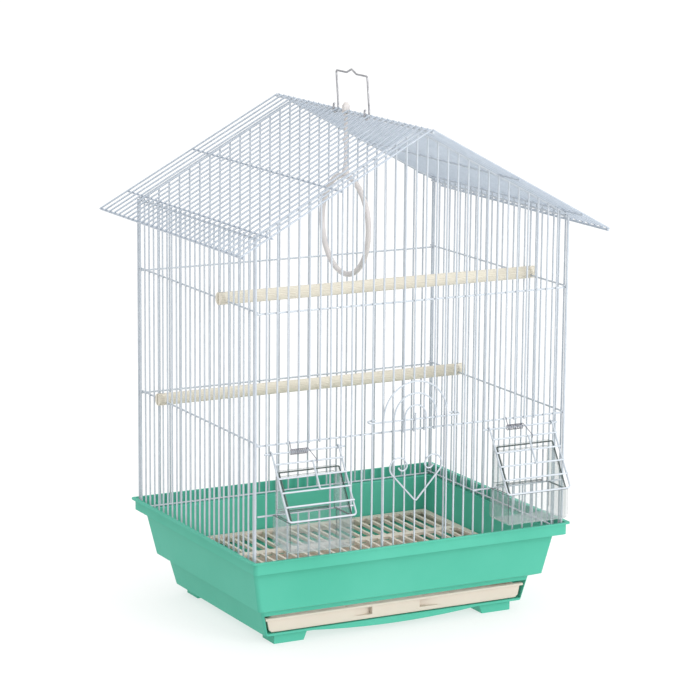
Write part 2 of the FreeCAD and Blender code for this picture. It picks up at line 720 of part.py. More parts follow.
def flap_spring(way):
    """Torsion spring round the hinge wire: one leg hooks over the ring wire, one over a flap bar."""
    wire = c.spring_wire_diameter
    radius = (c.spring_diameter - wire) / 2
    centre = V(way * c.feeder_x - c.spring_start, -c.hinge_plane, c.hinge_level)
    hook = c.wire_radius + c.clearance + wire / 2
    front = V(0, -1, 0)
    up = V(0, 0, 1)
    down = V(0, -c.flap_sin, -c.flap_cos)
    out = V(0, -c.flap_cos, c.flap_sin)
    bar = (down * (c.flap_length - c.flap_bars * c.flap_bar_pitch)
           + out * (c.flap_loop + c.wire_diameter))
    ring = V(centre.x, -c.ring_plane_front, c.middle_ring - c.ring_step)
    corner = ring + (up + front) * hook
    drop = corner - centre
    first = -math.atan2(drop.y, drop.z) - math.asin(radius / drop.Length)
    lean = math.atan2(-bar.z, -bar.y) + math.asin((radius - hook) / bar.Length)
    last = lean + math.tau * (c.spring_turns - 0.25)
    count = int(c.spring_turns * c.spring_turn_arcs)

    def place(step):
        angle = first + (last - first) * step / count
        return (centre + V(c.spring_length * step / count, 0, 0)
                + front * (radius * math.cos(angle)) - up * (radius * math.sin(angle)))

    short_leg = [ring - front * hook, ring + (up - front) * hook, corner, place(0)]
    along = front * math.cos(lean) - up * math.sin(lean)
    over = front * math.sin(lean) + up * math.cos(lean)
    bar += centre + V(c.spring_length + c.spring_leg_shift, 0, 0)
    long_leg = [place(count), bar + (along + over) * hook]
    coil = [Part.Arc(place(k), place(k + 0.5), place(k + 1)).toShape() for k in range(count)]
    edges = leg_edges(short_leg, c.spring_bend) + coil + leg_edges(long_leg, c.spring_bend)
    print("least gap of the spring to itself:", round(least_gap(edges, wire), 2))
    half = wire / 2
    corners = [V(half, half, 0), V(-half, half, 0), V(-half, -half, 0), V(half, -half, 0)]
    outline = Part.makePolygon([short_leg[0] + corner for corner in corners + corners[:1]])
    spring = Part.Wire(edges).makePipeShell([outline], True, False)
    if spring.Volume < 0:
        spring.reverse()
    return spring


door_wires()
door_guide("door_guide_upper", c.upper_guide)
door_guide("door_guide_lower", c.lower_guide)
door_heart()
feeder_flap("left", -1)
feeder_flap("right", 1)
shaped("flap_springs", [flap_spring(-1), flap_spring(1)])
carry_handle()


# Moulded parts

def value(text):
    """The number behind a size's name, which may have a minus sign."""
    return -getattr(c, text[1:]) if text.startswith("-") else getattr(c, text)


def bound(text):
    """The sheet expression for a size's name, which may have a minus sign."""
    return "-Sheet." + text[1:] if text.startswith("-") else "Sheet." + text


def new_body(label):
    """An empty body for one moulded part."""
    body = doc.addObject("PartDesign::Body", label)
    body.Label = label
    return body


def sketch_on(body, name, role, level):
    """A sketch on one of the body's own planes, moved along its normal by a named size."""
    sketch = body.newObject("Sketcher::SketchObject", name)
    plane = next(item for item in body.Origin.OriginFeatures if item.Role == role)
    sketch.AttachmentSupport = [(plane, "")]
    sketch.MapMode = "FlatFace"
    sketch.setExpression("AttachmentOffset.Base.z", bound(level))
    return sketch


def name_size(sketch, constraint, text):
    """Adds a constraint and binds it to a size of the sheet."""
    index = sketch.addConstraint(constraint)
    sketch.setExpression(f"Constraints[{index}]", bound(text))


def rounded(body, name, level, width, depth, radius):
    """A rectangle with rounded corners round the cage's middle."""
    sketch = sketch_on(body, name, "XY_Plane", level)
    r = value(radius)
    x, y = value(width) / 2, value(depth) / 2
    corners = [(x - r, r - y, -90), (x - r, y - r, 0), (r - x, y - r, 90), (r - x, r - y, 180)]
    runs = [((r - x, -y), (x - r, -y)), ((x, r - y), (x, y - r)),
            ((x - r, y), (r - x, y)), ((-x, y - r), (-x, r - y))]
    for (start, end), (at_x, at_y, turn) in zip(runs, corners):
        sketch.addGeometry(Part.LineSegment(V(*start), V(*end)))
        circle = Part.Circle(V(at_x, at_y, 0), V(0, 0, 1), r)
        sketch.addGeometry(Part.ArcOfCircle(circle, math.radians(turn), math.radians(turn + 90)))
    for k in range(8):
        sketch.addConstraint(Sketcher.Constraint("Tangent", k, 2, (k + 1) % 8, 1))
    for k, way in ((0, "Horizontal"), (2, "Vertical"), (4, "Horizontal"), (6, "Vertical")):
        sketch.addConstraint(Sketcher.Constraint(way, k))
    for k in (3, 5, 7):
        sketch.addConstraint(Sketcher.Constraint("Equal", 1, k))
    sketch.addConstraint(Sketcher.Constraint("Symmetric", 0, 1, 4, 1, -1, 1))
    name_size(sketch, Sketcher.Constraint("DistanceX", 6, 1, 2, 1, 2 * x), width)
    name_size(sketch, Sketcher.Constraint("DistanceY", 0, 1, 4, 1, 2 * y), depth)
    name_size(sketch, Sketcher.Constraint("Radius", 1, r), radius)
    return sketch


def centred(body, name, level, width, depth):
    """A rectangle round the cage's middle."""
    sketch = sketch_on(body, name, "XY_Plane", level)
    x, y = value(width) / 2, value(depth) / 2
    corners = [V(-x, -y, 0), V(x, -y, 0), V(x, y, 0), V(-x, y, 0)]
    for k in range(4):
        sketch.addGeometry(Part.LineSegment(corners[k], corners[(k + 1) % 4]))
    for k in range(4):
        sketch.addConstraint(Sketcher.Constraint("Coincident", k, 2, (k + 1) % 4, 1))
        sketch.addConstraint(Sketcher.Constraint("Vertical" if k % 2 else "Horizontal", k))
    sketch.addConstraint(Sketcher.Constraint("Symmetric", 0, 1, 2, 1, -1, 1))
    name_size(sketch, Sketcher.Constraint("DistanceX", 0, 1, 0, 2, 2 * x), width)
    name_size(sketch, Sketcher.Constraint("DistanceY", 1, 1, 1, 2, 2 * y), depth)
    return sketch


def outline(body, name, role, level, *loops):
    """Closed outlines whose corners are pairs of named sizes along the plane's two axes."""
    sketch = sketch_on(body, name, role, level)
    for loop in loops:
        first = sketch.GeometryCount
        count = len(loop)
        places = [V(value(across), value(up), 0) for across, up in loop]
        for k in range(count):
            sketch.addGeometry(Part.LineSegment(places[k], places[(k + 1) % count]))
        for k in range(count):
            sketch.addConstraint(Sketcher.Constraint(
                "Coincident", first + k, 2, first + (k + 1) % count, 1))
        for k, (across, up) in enumerate(loop):
            point = (-1, 1, first + k, 1)
            name_size(sketch, Sketcher.Constraint("DistanceX", *point, places[k].x), across)
            name_size(sketch, Sketcher.Constraint("DistanceY", *point, places[k].y), up)
    return sketch


def feature(body, kind, name, sketch, length=None, **options):
    """Adds a pad, pocket or other feature of a sketch to the body."""
    item = body.newObject(f"PartDesign::{kind}", name)
    item.Profile = sketch
    for option, setting in options.items():
        setattr(item, option, setting)
    if length:
        item.setExpression("Length", bound(length))
    doc.recompute()
    return item


def ruled_loft(body, kind, name, sketches):
    """Straight-sided loft through outlines one above the other."""
    return feature(body, kind, name, sketches[0], Sections=sketches[1:], Ruled=True)


def box(left, right, low, high):
    """Corners of a rectangle given by its four named sides."""
    return [(left, low), (right, low), (right, high), (left, high)]


def base_tub():
    """Tub: stepped walls, the seat and lip for the wire cage, the tray slot, feet and apron."""
    body = new_body("base_tub")
    outer = [rounded(body, f"outer_{name}", level, f"{name}_width", f"{name}_depth", "corner_radius")
             for name, level in (("base", "floor_level"), ("lower", "ledge_foot"),
                                 ("ledge", "ledge_top"), ("wall", "wall_top"))]
    ruled_loft(body, "AdditiveLoft", "walls", outer)
    rim = rounded(body, "rim_outline", "wall_top", "rim_width", "rim_depth", "corner_radius")
    feature(body, "Pad", "rim", rim, "rim_height")
    flange = rounded(body, "flange_outline", "flange_level", "flange_width", "flange_depth",
                     "corner_radius")
    feature(body, "Pad", "rim_flange", flange, "flange_thickness")
    seat = centred(body, "seat_outline", "rim_top", "rim_inner_width", "rim_inner_depth")
    feature(body, "Pocket", "seat", seat, "lip_height")
    inner = [centred(body, f"inner_{name}", level, f"{name}_inner_width", f"{name}_inner_depth")
             for name, level in (("base", "floor_top"), ("lower", "ledge_foot_inner"),
                                 ("ledge", "ledge_top_inner"), ("wall", "seat_level"))]
    ruled_loft(body, "SubtractiveLoft", "hollow", inner)
    slot = outline(body, "slot_outline", "XZ_Plane", "slot_depth", [
        ("-slot_bottom_half", "floor_top"), ("slot_bottom_half", "floor_top"),
        ("slot_top_half", "slot_top"), ("-slot_top_half", "slot_top")])
    feature(body, "Pocket", "tray_slot", slot, "slot_length")
    feet = outline(body, "feet_outline", "XZ_Plane", "foot_front", *[
        [(sign + "foot_inner", "foot_root"), (sign + "foot_toe", "sole"),
         (sign + "foot_outer", "sole"), (sign + "foot_outer", "foot_root")] for sign in ("", "-")])
    pad = feature(body, "Pad", "front_feet", feet, "foot_width", Reversed=True)
    back = body.newObject("PartDesign::Mirrored", "back_feet")
    back.Originals = [pad]
    middle = next(item for item in body.Origin.OriginFeatures if item.Role == "XZ_Plane")
    back.MirrorPlane = (middle, [""])
    body.Tip = back
    apron = sketch_on(body, "apron_outline", "XZ_Plane", "base_half_depth")
    half, top, edge = c.apron_half, c.foot_root, c.floor_level
    corners = [(half, edge), (half, top), (-half, top), (-half, edge)]
    for start, end in zip(corners, corners[1:]):
        apron.addGeometry(Part.LineSegment(V(*start), V(*end)))
    spread = math.asin(half / c.apron_radius)
    circle = Part.Circle(V(0, edge - c.apron_drop + c.apron_radius, 0), V(0, 0, 1), c.apron_radius)
    apron.addGeometry(Part.ArcOfCircle(circle, -math.pi / 2 - spread, -math.pi / 2 + spread))
    for k in range(4):
        apron.addConstraint(Sketcher.Constraint("Coincident", k, 2, (k + 1) % 4, 1))
    apron.addConstraint(Sketcher.Constraint("Symmetric", 0, 1, 2, 2, -2))
    apron.addConstraint(Sketcher.Constraint("Horizontal", 1))
    apron.addConstraint(Sketcher.Constraint("Vertical", 0))
    apron.addConstraint(Sketcher.Constraint("Vertical", 2))
    name_size(apron, Sketcher.Constraint("DistanceX", -1, 1, 0, 1, half), "apron_half")
    name_size(apron, Sketcher.Constraint("DistanceY", -1, 1, 0, 1, edge), "floor_level")
    name_size(apron, Sketcher.Constraint("DistanceY", -1, 1, 1, 1, top), "foot_root")
    name_size(apron, Sketcher.Constraint("Radius", 3, c.apron_radius), "apron_radius")
    feature(body, "Pad", "apron", apron, "tub_wall", Reversed=True)
    stand(body)


def waste_tray():
    """Pull-out tray: an open box behind a front plate with a lip along its top and a pinch grip."""
    body = new_body("waste_tray")
    block = outline(body, "tray_outline", "XY_Plane", "tray_bottom",
                    box("-tray_half", "tray_half", "-tray_front", "tray_back"))
    feature(body, "Pad", "tray_block", block, "tray_height")
    plate = outline(body, "plate_outline", "XZ_Plane", "plate_front", [
        ("-plate_foot_half", "tray_bottom"), ("plate_foot_half", "tray_bottom"),
        ("plate_bottom_half", "plate_corner_top"), ("plate_top_half", "tray_lip_level"),
        ("-plate_top_half", "tray_lip_level"), ("-plate_bottom_half", "plate_corner_top")])
    feature(body, "Pad", "front_plate", plate, "plate_thickness", Reversed=True)
    lip = outline(body, "lip_outline", "XY_Plane", "tray_lip_level",
                  box("-tray_lip_half", "tray_lip_half", "-tray_lip_front", "-tray_front"))
    feature(body, "Pad", "plate_lip", lip, "tray_lip_height")
    bay = outline(body, "bay_outline", "XY_Plane", "tray_top", [
        ("-bay_half", "-bay_front"), ("-grip_block", "-bay_front"), ("-grip_block", "-grip_wall"),
        ("grip_block", "-grip_wall"), ("grip_block", "-bay_front"), ("bay_half", "-bay_front"),
        ("bay_half", "bay_back"), ("-bay_half", "bay_back")])
    feature(body, "Pocket", "bay", bay, "tray_bay_height")
    grips = outline(body, "grip_outline", "XY_Plane", "grip_top", *[
        [(sign + "grip_inner", "-grip_back"), (sign + "grip_inner", "-grip_front"),
         (sign + "grip_outer", "-grip_front"), (sign + "grip_outer", "-plate_front")]
        for sign in ("", "-")])
    feature(body, "Pocket", "grips", grips, "grip_height")
    stand(body)


def floor_grille():
    """Floor grille: a framed plate on a skirt, with rows of slots between two cross bands."""
    body = new_body("floor_grille")
    frame = centred(body, "grille_outline", "grille_bottom", "grille_width", "grille_depth")
    feature(body, "Pad", "grille_block", frame, "grille_height")
    skirt = outline(body, "skirt_outline", "XY_Plane", "grille_bottom", box(
        "-skirt_half_width", "skirt_half_width", "-skirt_half_depth", "skirt_half_depth"))
    feature(body, "Pocket", "under_side", skirt, "grille_skirt_height", Reversed=True)
    slots = outline(body, "slot_outlines", "XY_Plane", "grille_top",
                    box("grille_start", "grille_start_end", "-grille_row_inner", "grille_row_inner"),
                    box("grille_start", "grille_start_end", "grille_row_outer", "grille_row_end"),
                    box("grille_start", "grille_start_end", "-grille_row_end", "-grille_row_outer"))
    first = feature(body, "Pocket", "first_slots", slots, "grille_slot_cut")
    rows = body.newObject("PartDesign::LinearPattern", "slots")
    rows.Originals = [first]
    rows.Direction = (slots, ["H_Axis"])
    rows.setExpression("Length", "Sheet.grille_pattern")
    rows.setExpression("Occurrences", "Sheet.grille_slots")
    body.Tip = rows
    stand(body)


def feeder_cup(hand, way):
    """Clear cup: a trough with rounded lower edges, a hood up to the flap and a hook on the sill."""
    body = new_body(f"{hand}_feeder_cup")
    trough = outline(body, "trough_outline", "XY_Plane", "cup_bottom",
                     box("-cup_half", "cup_half", "-cup_front", "-cup_back"))
    feature(body, "Pad", "trough", trough, "cup_height")
    base = body.Tip
    low = [f"Edge{k}" for k, edge in enumerate(base.Shape.Edges, start=1)
           if edge.BoundBox.ZMax < c.cup_bottom + TINY]
    rounding = body.newObject("PartDesign::Fillet", "rounding")
    rounding.Base = (base, low)
    rounding.setExpression("Radius", "Sheet.cup_radius")
    doc.recompute()
    hood = outline(body, "hood_outline", "YZ_Plane", "hood_half", [
        ("-cup_back", "hood_root"), ("-cup_back", "hood_top"), ("-hood_front_top", "hood_top"),
        ("-hood_front_foot", "cup_top"), ("-hood_front_foot", "hood_root")])
    feature(body, "Pad", "hood", hood, "hood_width", Reversed=True)
    bay = outline(body, "bay_outline", "XY_Plane", "cup_top",
                  box("-cup_bay_half", "cup_bay_half", "-cup_bay_front", "-cup_bay_back"))
    feature(body, "Pocket", "bay", bay, "cup_bay_height")
    mouth = outline(body, "mouth_outline", "XZ_Plane", "cup_front_past",
                    box("-mouth_half", "mouth_half", "cup_top", "mouth_top"))
    feature(body, "Pocket", "mouth", mouth, "mouth_depth")
    window = outline(body, "window_outline", "XZ_Plane", "cup_front_past",
                     box("-mouth_half", "mouth_half", "window_bottom", "mouth_top"))
    feature(body, "Pocket", "window", window, "window_depth")
    hook = outline(body, "hook_outline", "XY_Plane", "hook_bottom",
                   box("-hook_half", "hook_half", "-hook_root", "-hook_end"))
    feature(body, "Pad", "hook", hook, "cup_hook_thickness")
    stand(body, way * c.feeder_x)


base_tub()
waste_tray()
floor_grille()
feeder_cup("left", -1)
feeder_cup("right", 1)


# Perches and swing

def bar(kind, name, at, turn=FreeCAD.Rotation(), **sizes):
    """A plain solid whose place and sizes are sheet expressions."""
    item = doc.addObject(f"Part::{kind}", name)
    item.Placement = FreeCAD.Placement(V(), turn)
    for axis, place in zip("xyz", at):
        item.setExpression(f"Placement.Base.{axis}", place)
    for key, expression in sizes.items():
        item.setExpression(key, expression)
    return item


def cut(label, base, tools):
    """Cuts a group of solids from a base and stands the result as a node."""
    group = doc.addObject("Part::Compound", "cuts")
    group.Links = tools
    result = doc.addObject("Part::Cut", label)
    result.Label = label
    result.Base = base
    result.Tool = group
    return stand(result)


def perch(label, wire, ring):
    """Round perch notched at both ends for an upright and for the ring wire under it."""
    y = f"Sheet.side_pitch * Sheet.{wire} - Sheet.side_end"
    z = f"Sheet.{ring} + Sheet.ring_step + Sheet.perch_rise"
    rail = bar("Cylinder", "rail", ("-Sheet.perch_half", y, z), TURNS["x"],
               Radius="Sheet.perch_diameter / 2", Height="2 * Sheet.perch_half")
    low = f"{z} - Sheet.perch_diameter / 2 - Sheet.overrun"
    gap = "Sheet.wire_radius + Sheet.clearance"
    tools = []
    for way in (-1, 1):
        start = f"Sheet.half_width - ({gap})" if way > 0 else "-Sheet.perch_half - Sheet.overrun"
        tools.append(bar("Box", "wire_slot", (start, f"{y} - ({gap})", low),
                         Length=f"Sheet.perch_half + Sheet.overrun - Sheet.half_width + {gap}",
                         Width=f"2 * ({gap})",
                         Height="Sheet.perch_diameter + 2 * Sheet.overrun"))
        tools.append(bar("Box", "ring_notch", (
            f"{way} * Sheet.ring_plane_side - ({gap})",
            f"{y} - Sheet.perch_diameter / 2 - Sheet.overrun", low),
            Length=f"2 * ({gap})", Width="Sheet.perch_diameter + 2 * Sheet.overrun",
            Height=f"Sheet.overrun + Sheet.perch_diameter / 2 - Sheet.perch_rise + {gap}"))
    cut(label, rail, tools)


def swing_ring():
    """Round hoop across the cage."""
    radius = (c.hoop_diameter - c.hoop_thickness) / 2
    middle = V(0, c.swing_y, c.ridge_level - c.swing_drop)
    half = c.hoop_step / 2
    path = arc(middle, V(0, 0, -radius), V(0, radius, 0), half, 360 + half, c.hoop_step)
    shaped("swing_ring", [tube(path, c.hoop_thickness)])


def swing_hanger():
    """Hanger: a block that turns on the ridge wire, its stem with an eye, down to the hoop."""
    y, z = "Sheet.swing_y", "Sheet.ridge_level"
    head_y, stem_y = f"{y} - Sheet.hanger_thickness / 2", f"{y} - Sheet.hanger_stem / 2"
    solids = [
        bar("Box", "head", ("-Sheet.hanger_width / 2", head_y,
                            f"{z} - Sheet.frame_wire_diameter - Sheet.clearance"),
            Length="Sheet.hanger_width", Width="Sheet.hanger_thickness", Height="Sheet.hanger_height"),
        bar("Box", "stem", ("-Sheet.hanger_stem / 2", stem_y,
                            f"{z} - Sheet.swing_drop + Sheet.hoop_diameter / 2"),
            Length="Sheet.hanger_stem", Width="Sheet.hanger_stem",
            Height="Sheet.swing_drop - Sheet.hoop_diameter / 2"),
        bar("Cylinder", "eye", ("0", stem_y, f"{z} - Sheet.hanger_eye_drop"), TURNS["y"],
            Radius="Sheet.hanger_eye / 2", Height="Sheet.hanger_stem")]
    joined = doc.addObject("Part::MultiFuse", "hanger_block")
    joined.Shapes = solids
    holes = [bar("Cylinder", "hole", ("0", f"{head_y} - Sheet.overrun", level), TURNS["y"], Radius=radius,
                 Height="Sheet.hanger_thickness + 2 * Sheet.overrun")
             for level, radius in ((z, "Sheet.frame_wire_diameter / 2 + Sheet.clearance"),
                                   (f"{z} - Sheet.hanger_eye_drop", "Sheet.hanger_eye / 4"))]
    cut("swing_hanger", joined, holes)


perch("upper_perch", "upper_perch_wire", "upper_ring")
perch("lower_perch", "lower_perch_wire", "middle_ring")
swing_ring()
swing_hanger()


# Check and write

doc.recompute()
for item in doc.Objects:
    for state in ("Invalid", "Error"):
        if state in item.State:
            raise RuntimeError(f"{item.Label} is {state}")
os.makedirs("parts", exist_ok=True)
for node in NODES:
    if node.Shape.isNull() or not node.Shape.isValid():
        raise RuntimeError(f"{node.Label} has no valid shape")
    node.Shape.exportStep(f"parts/{node.Label}.step")
print(len(NODES), "sub-parts written")
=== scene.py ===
import logging
import math
from dataclasses import dataclass
from enum import Enum, StrEnum
from itertools import combinations

import bmesh
import bpy
from mathutils import Matrix, Vector
from mathutils.geometry import intersect_line_line


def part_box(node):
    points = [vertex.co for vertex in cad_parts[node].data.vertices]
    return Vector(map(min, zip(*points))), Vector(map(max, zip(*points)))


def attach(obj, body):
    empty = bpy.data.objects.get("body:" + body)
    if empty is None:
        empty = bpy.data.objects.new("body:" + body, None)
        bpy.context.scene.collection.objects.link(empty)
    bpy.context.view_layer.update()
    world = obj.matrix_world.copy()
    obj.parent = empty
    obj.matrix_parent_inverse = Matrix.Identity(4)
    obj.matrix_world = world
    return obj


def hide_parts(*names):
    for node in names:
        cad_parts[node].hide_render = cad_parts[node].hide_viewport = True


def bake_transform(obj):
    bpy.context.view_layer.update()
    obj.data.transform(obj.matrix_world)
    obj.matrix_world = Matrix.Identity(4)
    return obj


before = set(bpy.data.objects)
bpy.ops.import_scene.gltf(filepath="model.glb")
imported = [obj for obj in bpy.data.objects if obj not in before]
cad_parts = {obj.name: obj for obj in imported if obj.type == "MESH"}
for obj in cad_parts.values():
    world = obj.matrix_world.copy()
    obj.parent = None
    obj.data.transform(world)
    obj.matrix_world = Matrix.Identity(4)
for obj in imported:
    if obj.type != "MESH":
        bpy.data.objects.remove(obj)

log = logging.getLogger("bird_cage")
MM = 0.001
TOUCH = 0.25 * MM        # surfaces nearer than this count as touching
SAME_POINT = 0.002 * MM  # points nearer than this are one
SHORT_STEP = 0.01 * MM   # shorter steps are left out of a path
NODE_WIRE_SIDES = 8      # sides of a straight wire in a CAD node


class Axis(Enum):
    """Directions of the cage's frame."""

    RIGHT = (1, 0, 0)
    BACK = (0, 1, 0)
    UP = (0, 0, 1)

    @property
    def vector(self) -> Vector:
        """The direction as a vector."""
        return Vector(self.value)


class Hand(StrEnum):
    """The two sides that have a feeder, as seen from the front."""

    LEFT = "left"
    RIGHT = "right"


# Finishes


class Nodes:
    """A node material under construction, with its shader and Object coordinates.

    Attributes:
        octaves: Detail of every noise.
        noise_range: Part of a noise's range that is used.
    """

    octaves: float = 3.0
    noise_range: tuple[float, float] = (0.3, 0.7)

    def __init__(self, name: str) -> None:
        """Starts an empty material.

        Args:
            name: Name of the material.
        """
        self.material = bpy.data.materials.new(name)
        self.material.use_nodes = True
        self.tree = self.material.node_tree
        self.shader = self.tree.nodes["Principled BSDF"]
        self.place = self.add("ShaderNodeTexCoord").outputs["Object"]

    def add(self, kind: str) -> bpy.types.Node:
        """Adds a node of the given type."""
        return self.tree.nodes.new(kind)

    def link(self, source: bpy.types.NodeSocket, target: bpy.types.NodeSocket) -> None:
        """Connects two sockets."""
        self.tree.links.new(source, target)

    def noise(self, size: float, stretch: tuple[float, float, float]) -> bpy.types.NodeSocket:
        """Noise with patches of about one size.

        Args:
            size: Width of a patch in metres.
            stretch: Scale of the pattern along each axis.

        Returns:
            The noise's factor socket.
        """
        noise = self.add("ShaderNodeTexNoise")
        noise.inputs["Scale"].default_value = 1 / size
        noise.inputs["Detail"].default_value = self.octaves
        mapping = self.add("ShaderNodeMapping")
        mapping.inputs["Scale"].default_value = stretch
        self.link(self.place, mapping.inputs["Vector"])
        self.link(mapping.outputs["Vector"], noise.inputs["Vector"])
        return noise.outputs["Fac"]

    def spread(self, source: bpy.types.NodeSocket, low: float, high: float) -> bpy.types.NodeSocket:
        """Maps the middle of a noise to a range of values.

        Args:
            source: Noise factor.
            low: Value at the noise's low end.
            high: Value at the noise's high end.

        Returns:
            The mapped socket.
        """
        ramp = self.add("ShaderNodeMapRange")
        ends = ("From Min", "From Max", "To Min", "To Max")
        for end, level in zip(ends, (*self.noise_range, low, high)):
            ramp.inputs[end].default_value = level
        self.link(source, ramp.inputs["Value"])
        return ramp.outputs["Result"]

    def blend(self, factor: bpy.types.NodeSocket, first: tuple, second: tuple) -> bpy.types.NodeSocket:
        """Mixes two colours.

        Args:
            factor: Mixing factor.
            first: Colour at 0.
            second: Colour at 1.

        Returns:
            The mixed colour's socket.
        """
        mix = self.add("ShaderNodeMix")
        mix.data_type = "RGBA"
        mix.inputs["A"].default_value = (*first, 1)
        mix.inputs["B"].default_value = (*second, 1)
        self.link(factor, mix.inputs["Factor"])
        return mix.outputs["Result"]

    def relief(self, height: bpy.types.NodeSocket, depth: float) -> None:
        """Bumps the surface by a height.

        Args:
            height: Height factor.
            depth: Depth of the relief in metres.
        """
        bump = self.add("ShaderNodeBump")
        bump.inputs["Distance"].default_value = depth
        self.link(height, bump.inputs["Height"])
        self.link(bump.outputs["Normal"], self.shader.inputs["Normal"])


@dataclass(frozen=True)
class Finish:
    """A surface finish: two tones that drift into each other, gloss that varies and a fine relief.

    Attributes:
        name: Name of the material.
        tone: Colour of one kind of patch.
        shade: Colour of the other kind.
        patch: Width of a patch of colour.
        rough: Lowest and highest roughness.
        grain: Width of a grain of the relief.
        depth: Depth of the relief.
        stretch: Scale of both patterns along each axis.
        metallic: Share of bare metal.
        coat: Weight of the gloss coat.
        coat_roughness: Roughness of the gloss coat.
        body: How much light the faces and the edges of a clear finish hold back.
        subsurface: Weight of the light that enters the surface.
        scatter: Reach of that light for red, green and blue.
        specular: Strength of the reflections.
        glow: Strength of the finish's own light.
    """

    name: str
    tone: tuple[float, float, float]
    shade: tuple[float, float, float]
    patch: float
    rough: tuple[float, float]
    grain: float
    depth: float
    stretch: tuple[float, float, float] = (1, 1, 1)
    metallic: float = 0.0
    coat: float = 0.0
    coat_roughness: float = 0.12
    body: tuple[float, float] | None = None
    subsurface: float = 0.0
    scatter: tuple[float, float, float] = (2 * MM, 2 * MM, 1.5 * MM)
    specular: float = 0.5
    glow: float = 0.0

    def material(self) -> bpy.types.Material:
        """Builds the node material.

        Returns:
            The finished material.
        """
        nodes = Nodes(self.name)
        shader = nodes.shader
        tones = nodes.spread(nodes.noise(self.patch, self.stretch), 0, 1)
        nodes.link(nodes.blend(tones, self.tone, self.shade), shader.inputs["Base Color"])
        grain = nodes.noise(self.grain, self.stretch)
        nodes.link(nodes.spread(grain, *self.rough), shader.inputs["Roughness"])
        nodes.relief(grain, self.depth)
        for socket, level in (
                ("Metallic", self.metallic), ("Coat Weight", self.coat),
                ("Coat Roughness", self.coat_roughness), ("Specular IOR Level", self.specular),
                ("Emission Color", (1, 1, 1, 1)), ("Emission Strength", self.glow),
                ("Subsurface Weight", self.subsurface), ("Subsurface Radius", self.scatter)):
            shader.inputs[socket].default_value = level
        if self.body:
            edge = nodes.add("ShaderNodeLayerWeight").outputs["Facing"]
            nodes.link(nodes.spread(edge, *self.body), shader.inputs["Alpha"])
        return nodes.material


COATED = Finish("white_wire_coating", (0.535, 0.58, 0.63), (0.465, 0.515, 0.57), 9 * MM, (0.22, 0.34),
                0.6 * MM, 0.02 * MM, coat=0.6)
# Painted shade: a darker, bluer copy of the white wire coating for the roof panels, standing in for the
# shade on their wires.
ROOF_PAINTED_SHADE = Finish("roof_wire_painted_shade", (0.45, 0.505, 0.575), (0.39, 0.445, 0.515), 9 * MM, (0.22, 0.34),
                0.6 * MM, 0.02 * MM, coat=0.5)
DRAWN = Finish("bare_drawn_wire", (0.50, 0.50, 0.52), (0.30, 0.30, 0.32), 3 * MM, (0.22, 0.42),
               0.25 * MM, 0.01 * MM, metallic=1.0)
SPRUNG = Finish("spring_wire", (0.30, 0.30, 0.35), (0.18, 0.18, 0.22), 2 * MM, (0.20, 0.35),
                0.2 * MM, 0.01 * MM, metallic=1.0)
GREEN = Finish("green_moulding", (0.098, 0.466, 0.342), (0.082, 0.436, 0.312), 70 * MM, (0.42, 0.52),
               0.45 * MM, 0.012 * MM, subsurface=0.05, specular=0.12)
CREAM = Finish("cream_moulding", (0.665, 0.595, 0.51), (0.62, 0.55, 0.47), 45 * MM, (0.34, 0.46),
               0.5 * MM, 0.012 * MM, subsurface=0.08, specular=0.3)
CLEAR = Finish("clear_moulding", (0.42, 0.49, 0.49), (0.36, 0.43, 0.44), 18 * MM, (0.03, 0.10),
               1.4 * MM, 0.01 * MM, coat=1.0, body=(0.07, 0.42))
# Painted shade: a dark, nearly opaque tone on the cup's narrow faces, standing in for the dark look of
# clear plastic's edges.
PAINTED_EDGE_SHADE = Finish("clear_moulding_edge_painted_shade", (0.075, 0.105, 0.10), (0.05, 0.075, 0.07), 9 * MM, (0.10, 0.2),
                  1.4 * MM, 0.01 * MM, coat=0.2, body=(0.72, 0.95), specular=0.3)
RIBBED = Finish("cream_perch", (0.71, 0.67, 0.57), (0.65, 0.61, 0.51), 14 * MM, (0.42, 0.58),
                0.5 * MM, 0.03 * MM, stretch=(0.15, 1, 1), subsurface=0.05)
PALE = Finish("pale_hoop", (0.66, 0.63, 0.615), (0.60, 0.57, 0.56), 20 * MM, (0.36, 0.5),
              0.6 * MM, 0.015 * MM, subsurface=0.1)
PAINTED = Finish("floor_paint", (0.36, 0.36, 0.36), (0.35, 0.35, 0.35), 400 * MM, (0.8, 0.9),
                 4 * MM, 0.01 * MM, specular=0.1, glow=0.66)


# Shapes


def middle(node: str) -> Vector:
    """The middle of a CAD node's box."""
    low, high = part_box(node)
    return (Vector(low) + Vector(high)) / 2


def merged(node: str) -> bmesh.types.BMesh:
    """A copy of a CAD node's mesh with its doubles merged.

    Args:
        node: Name of the node.

    Returns:
        The copy.
    """
    bm = bmesh.new()
    bm.from_mesh(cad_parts[node].data)
    bmesh.ops.remove_doubles(bm, verts=bm.verts, dist=SAME_POINT)
    return bm


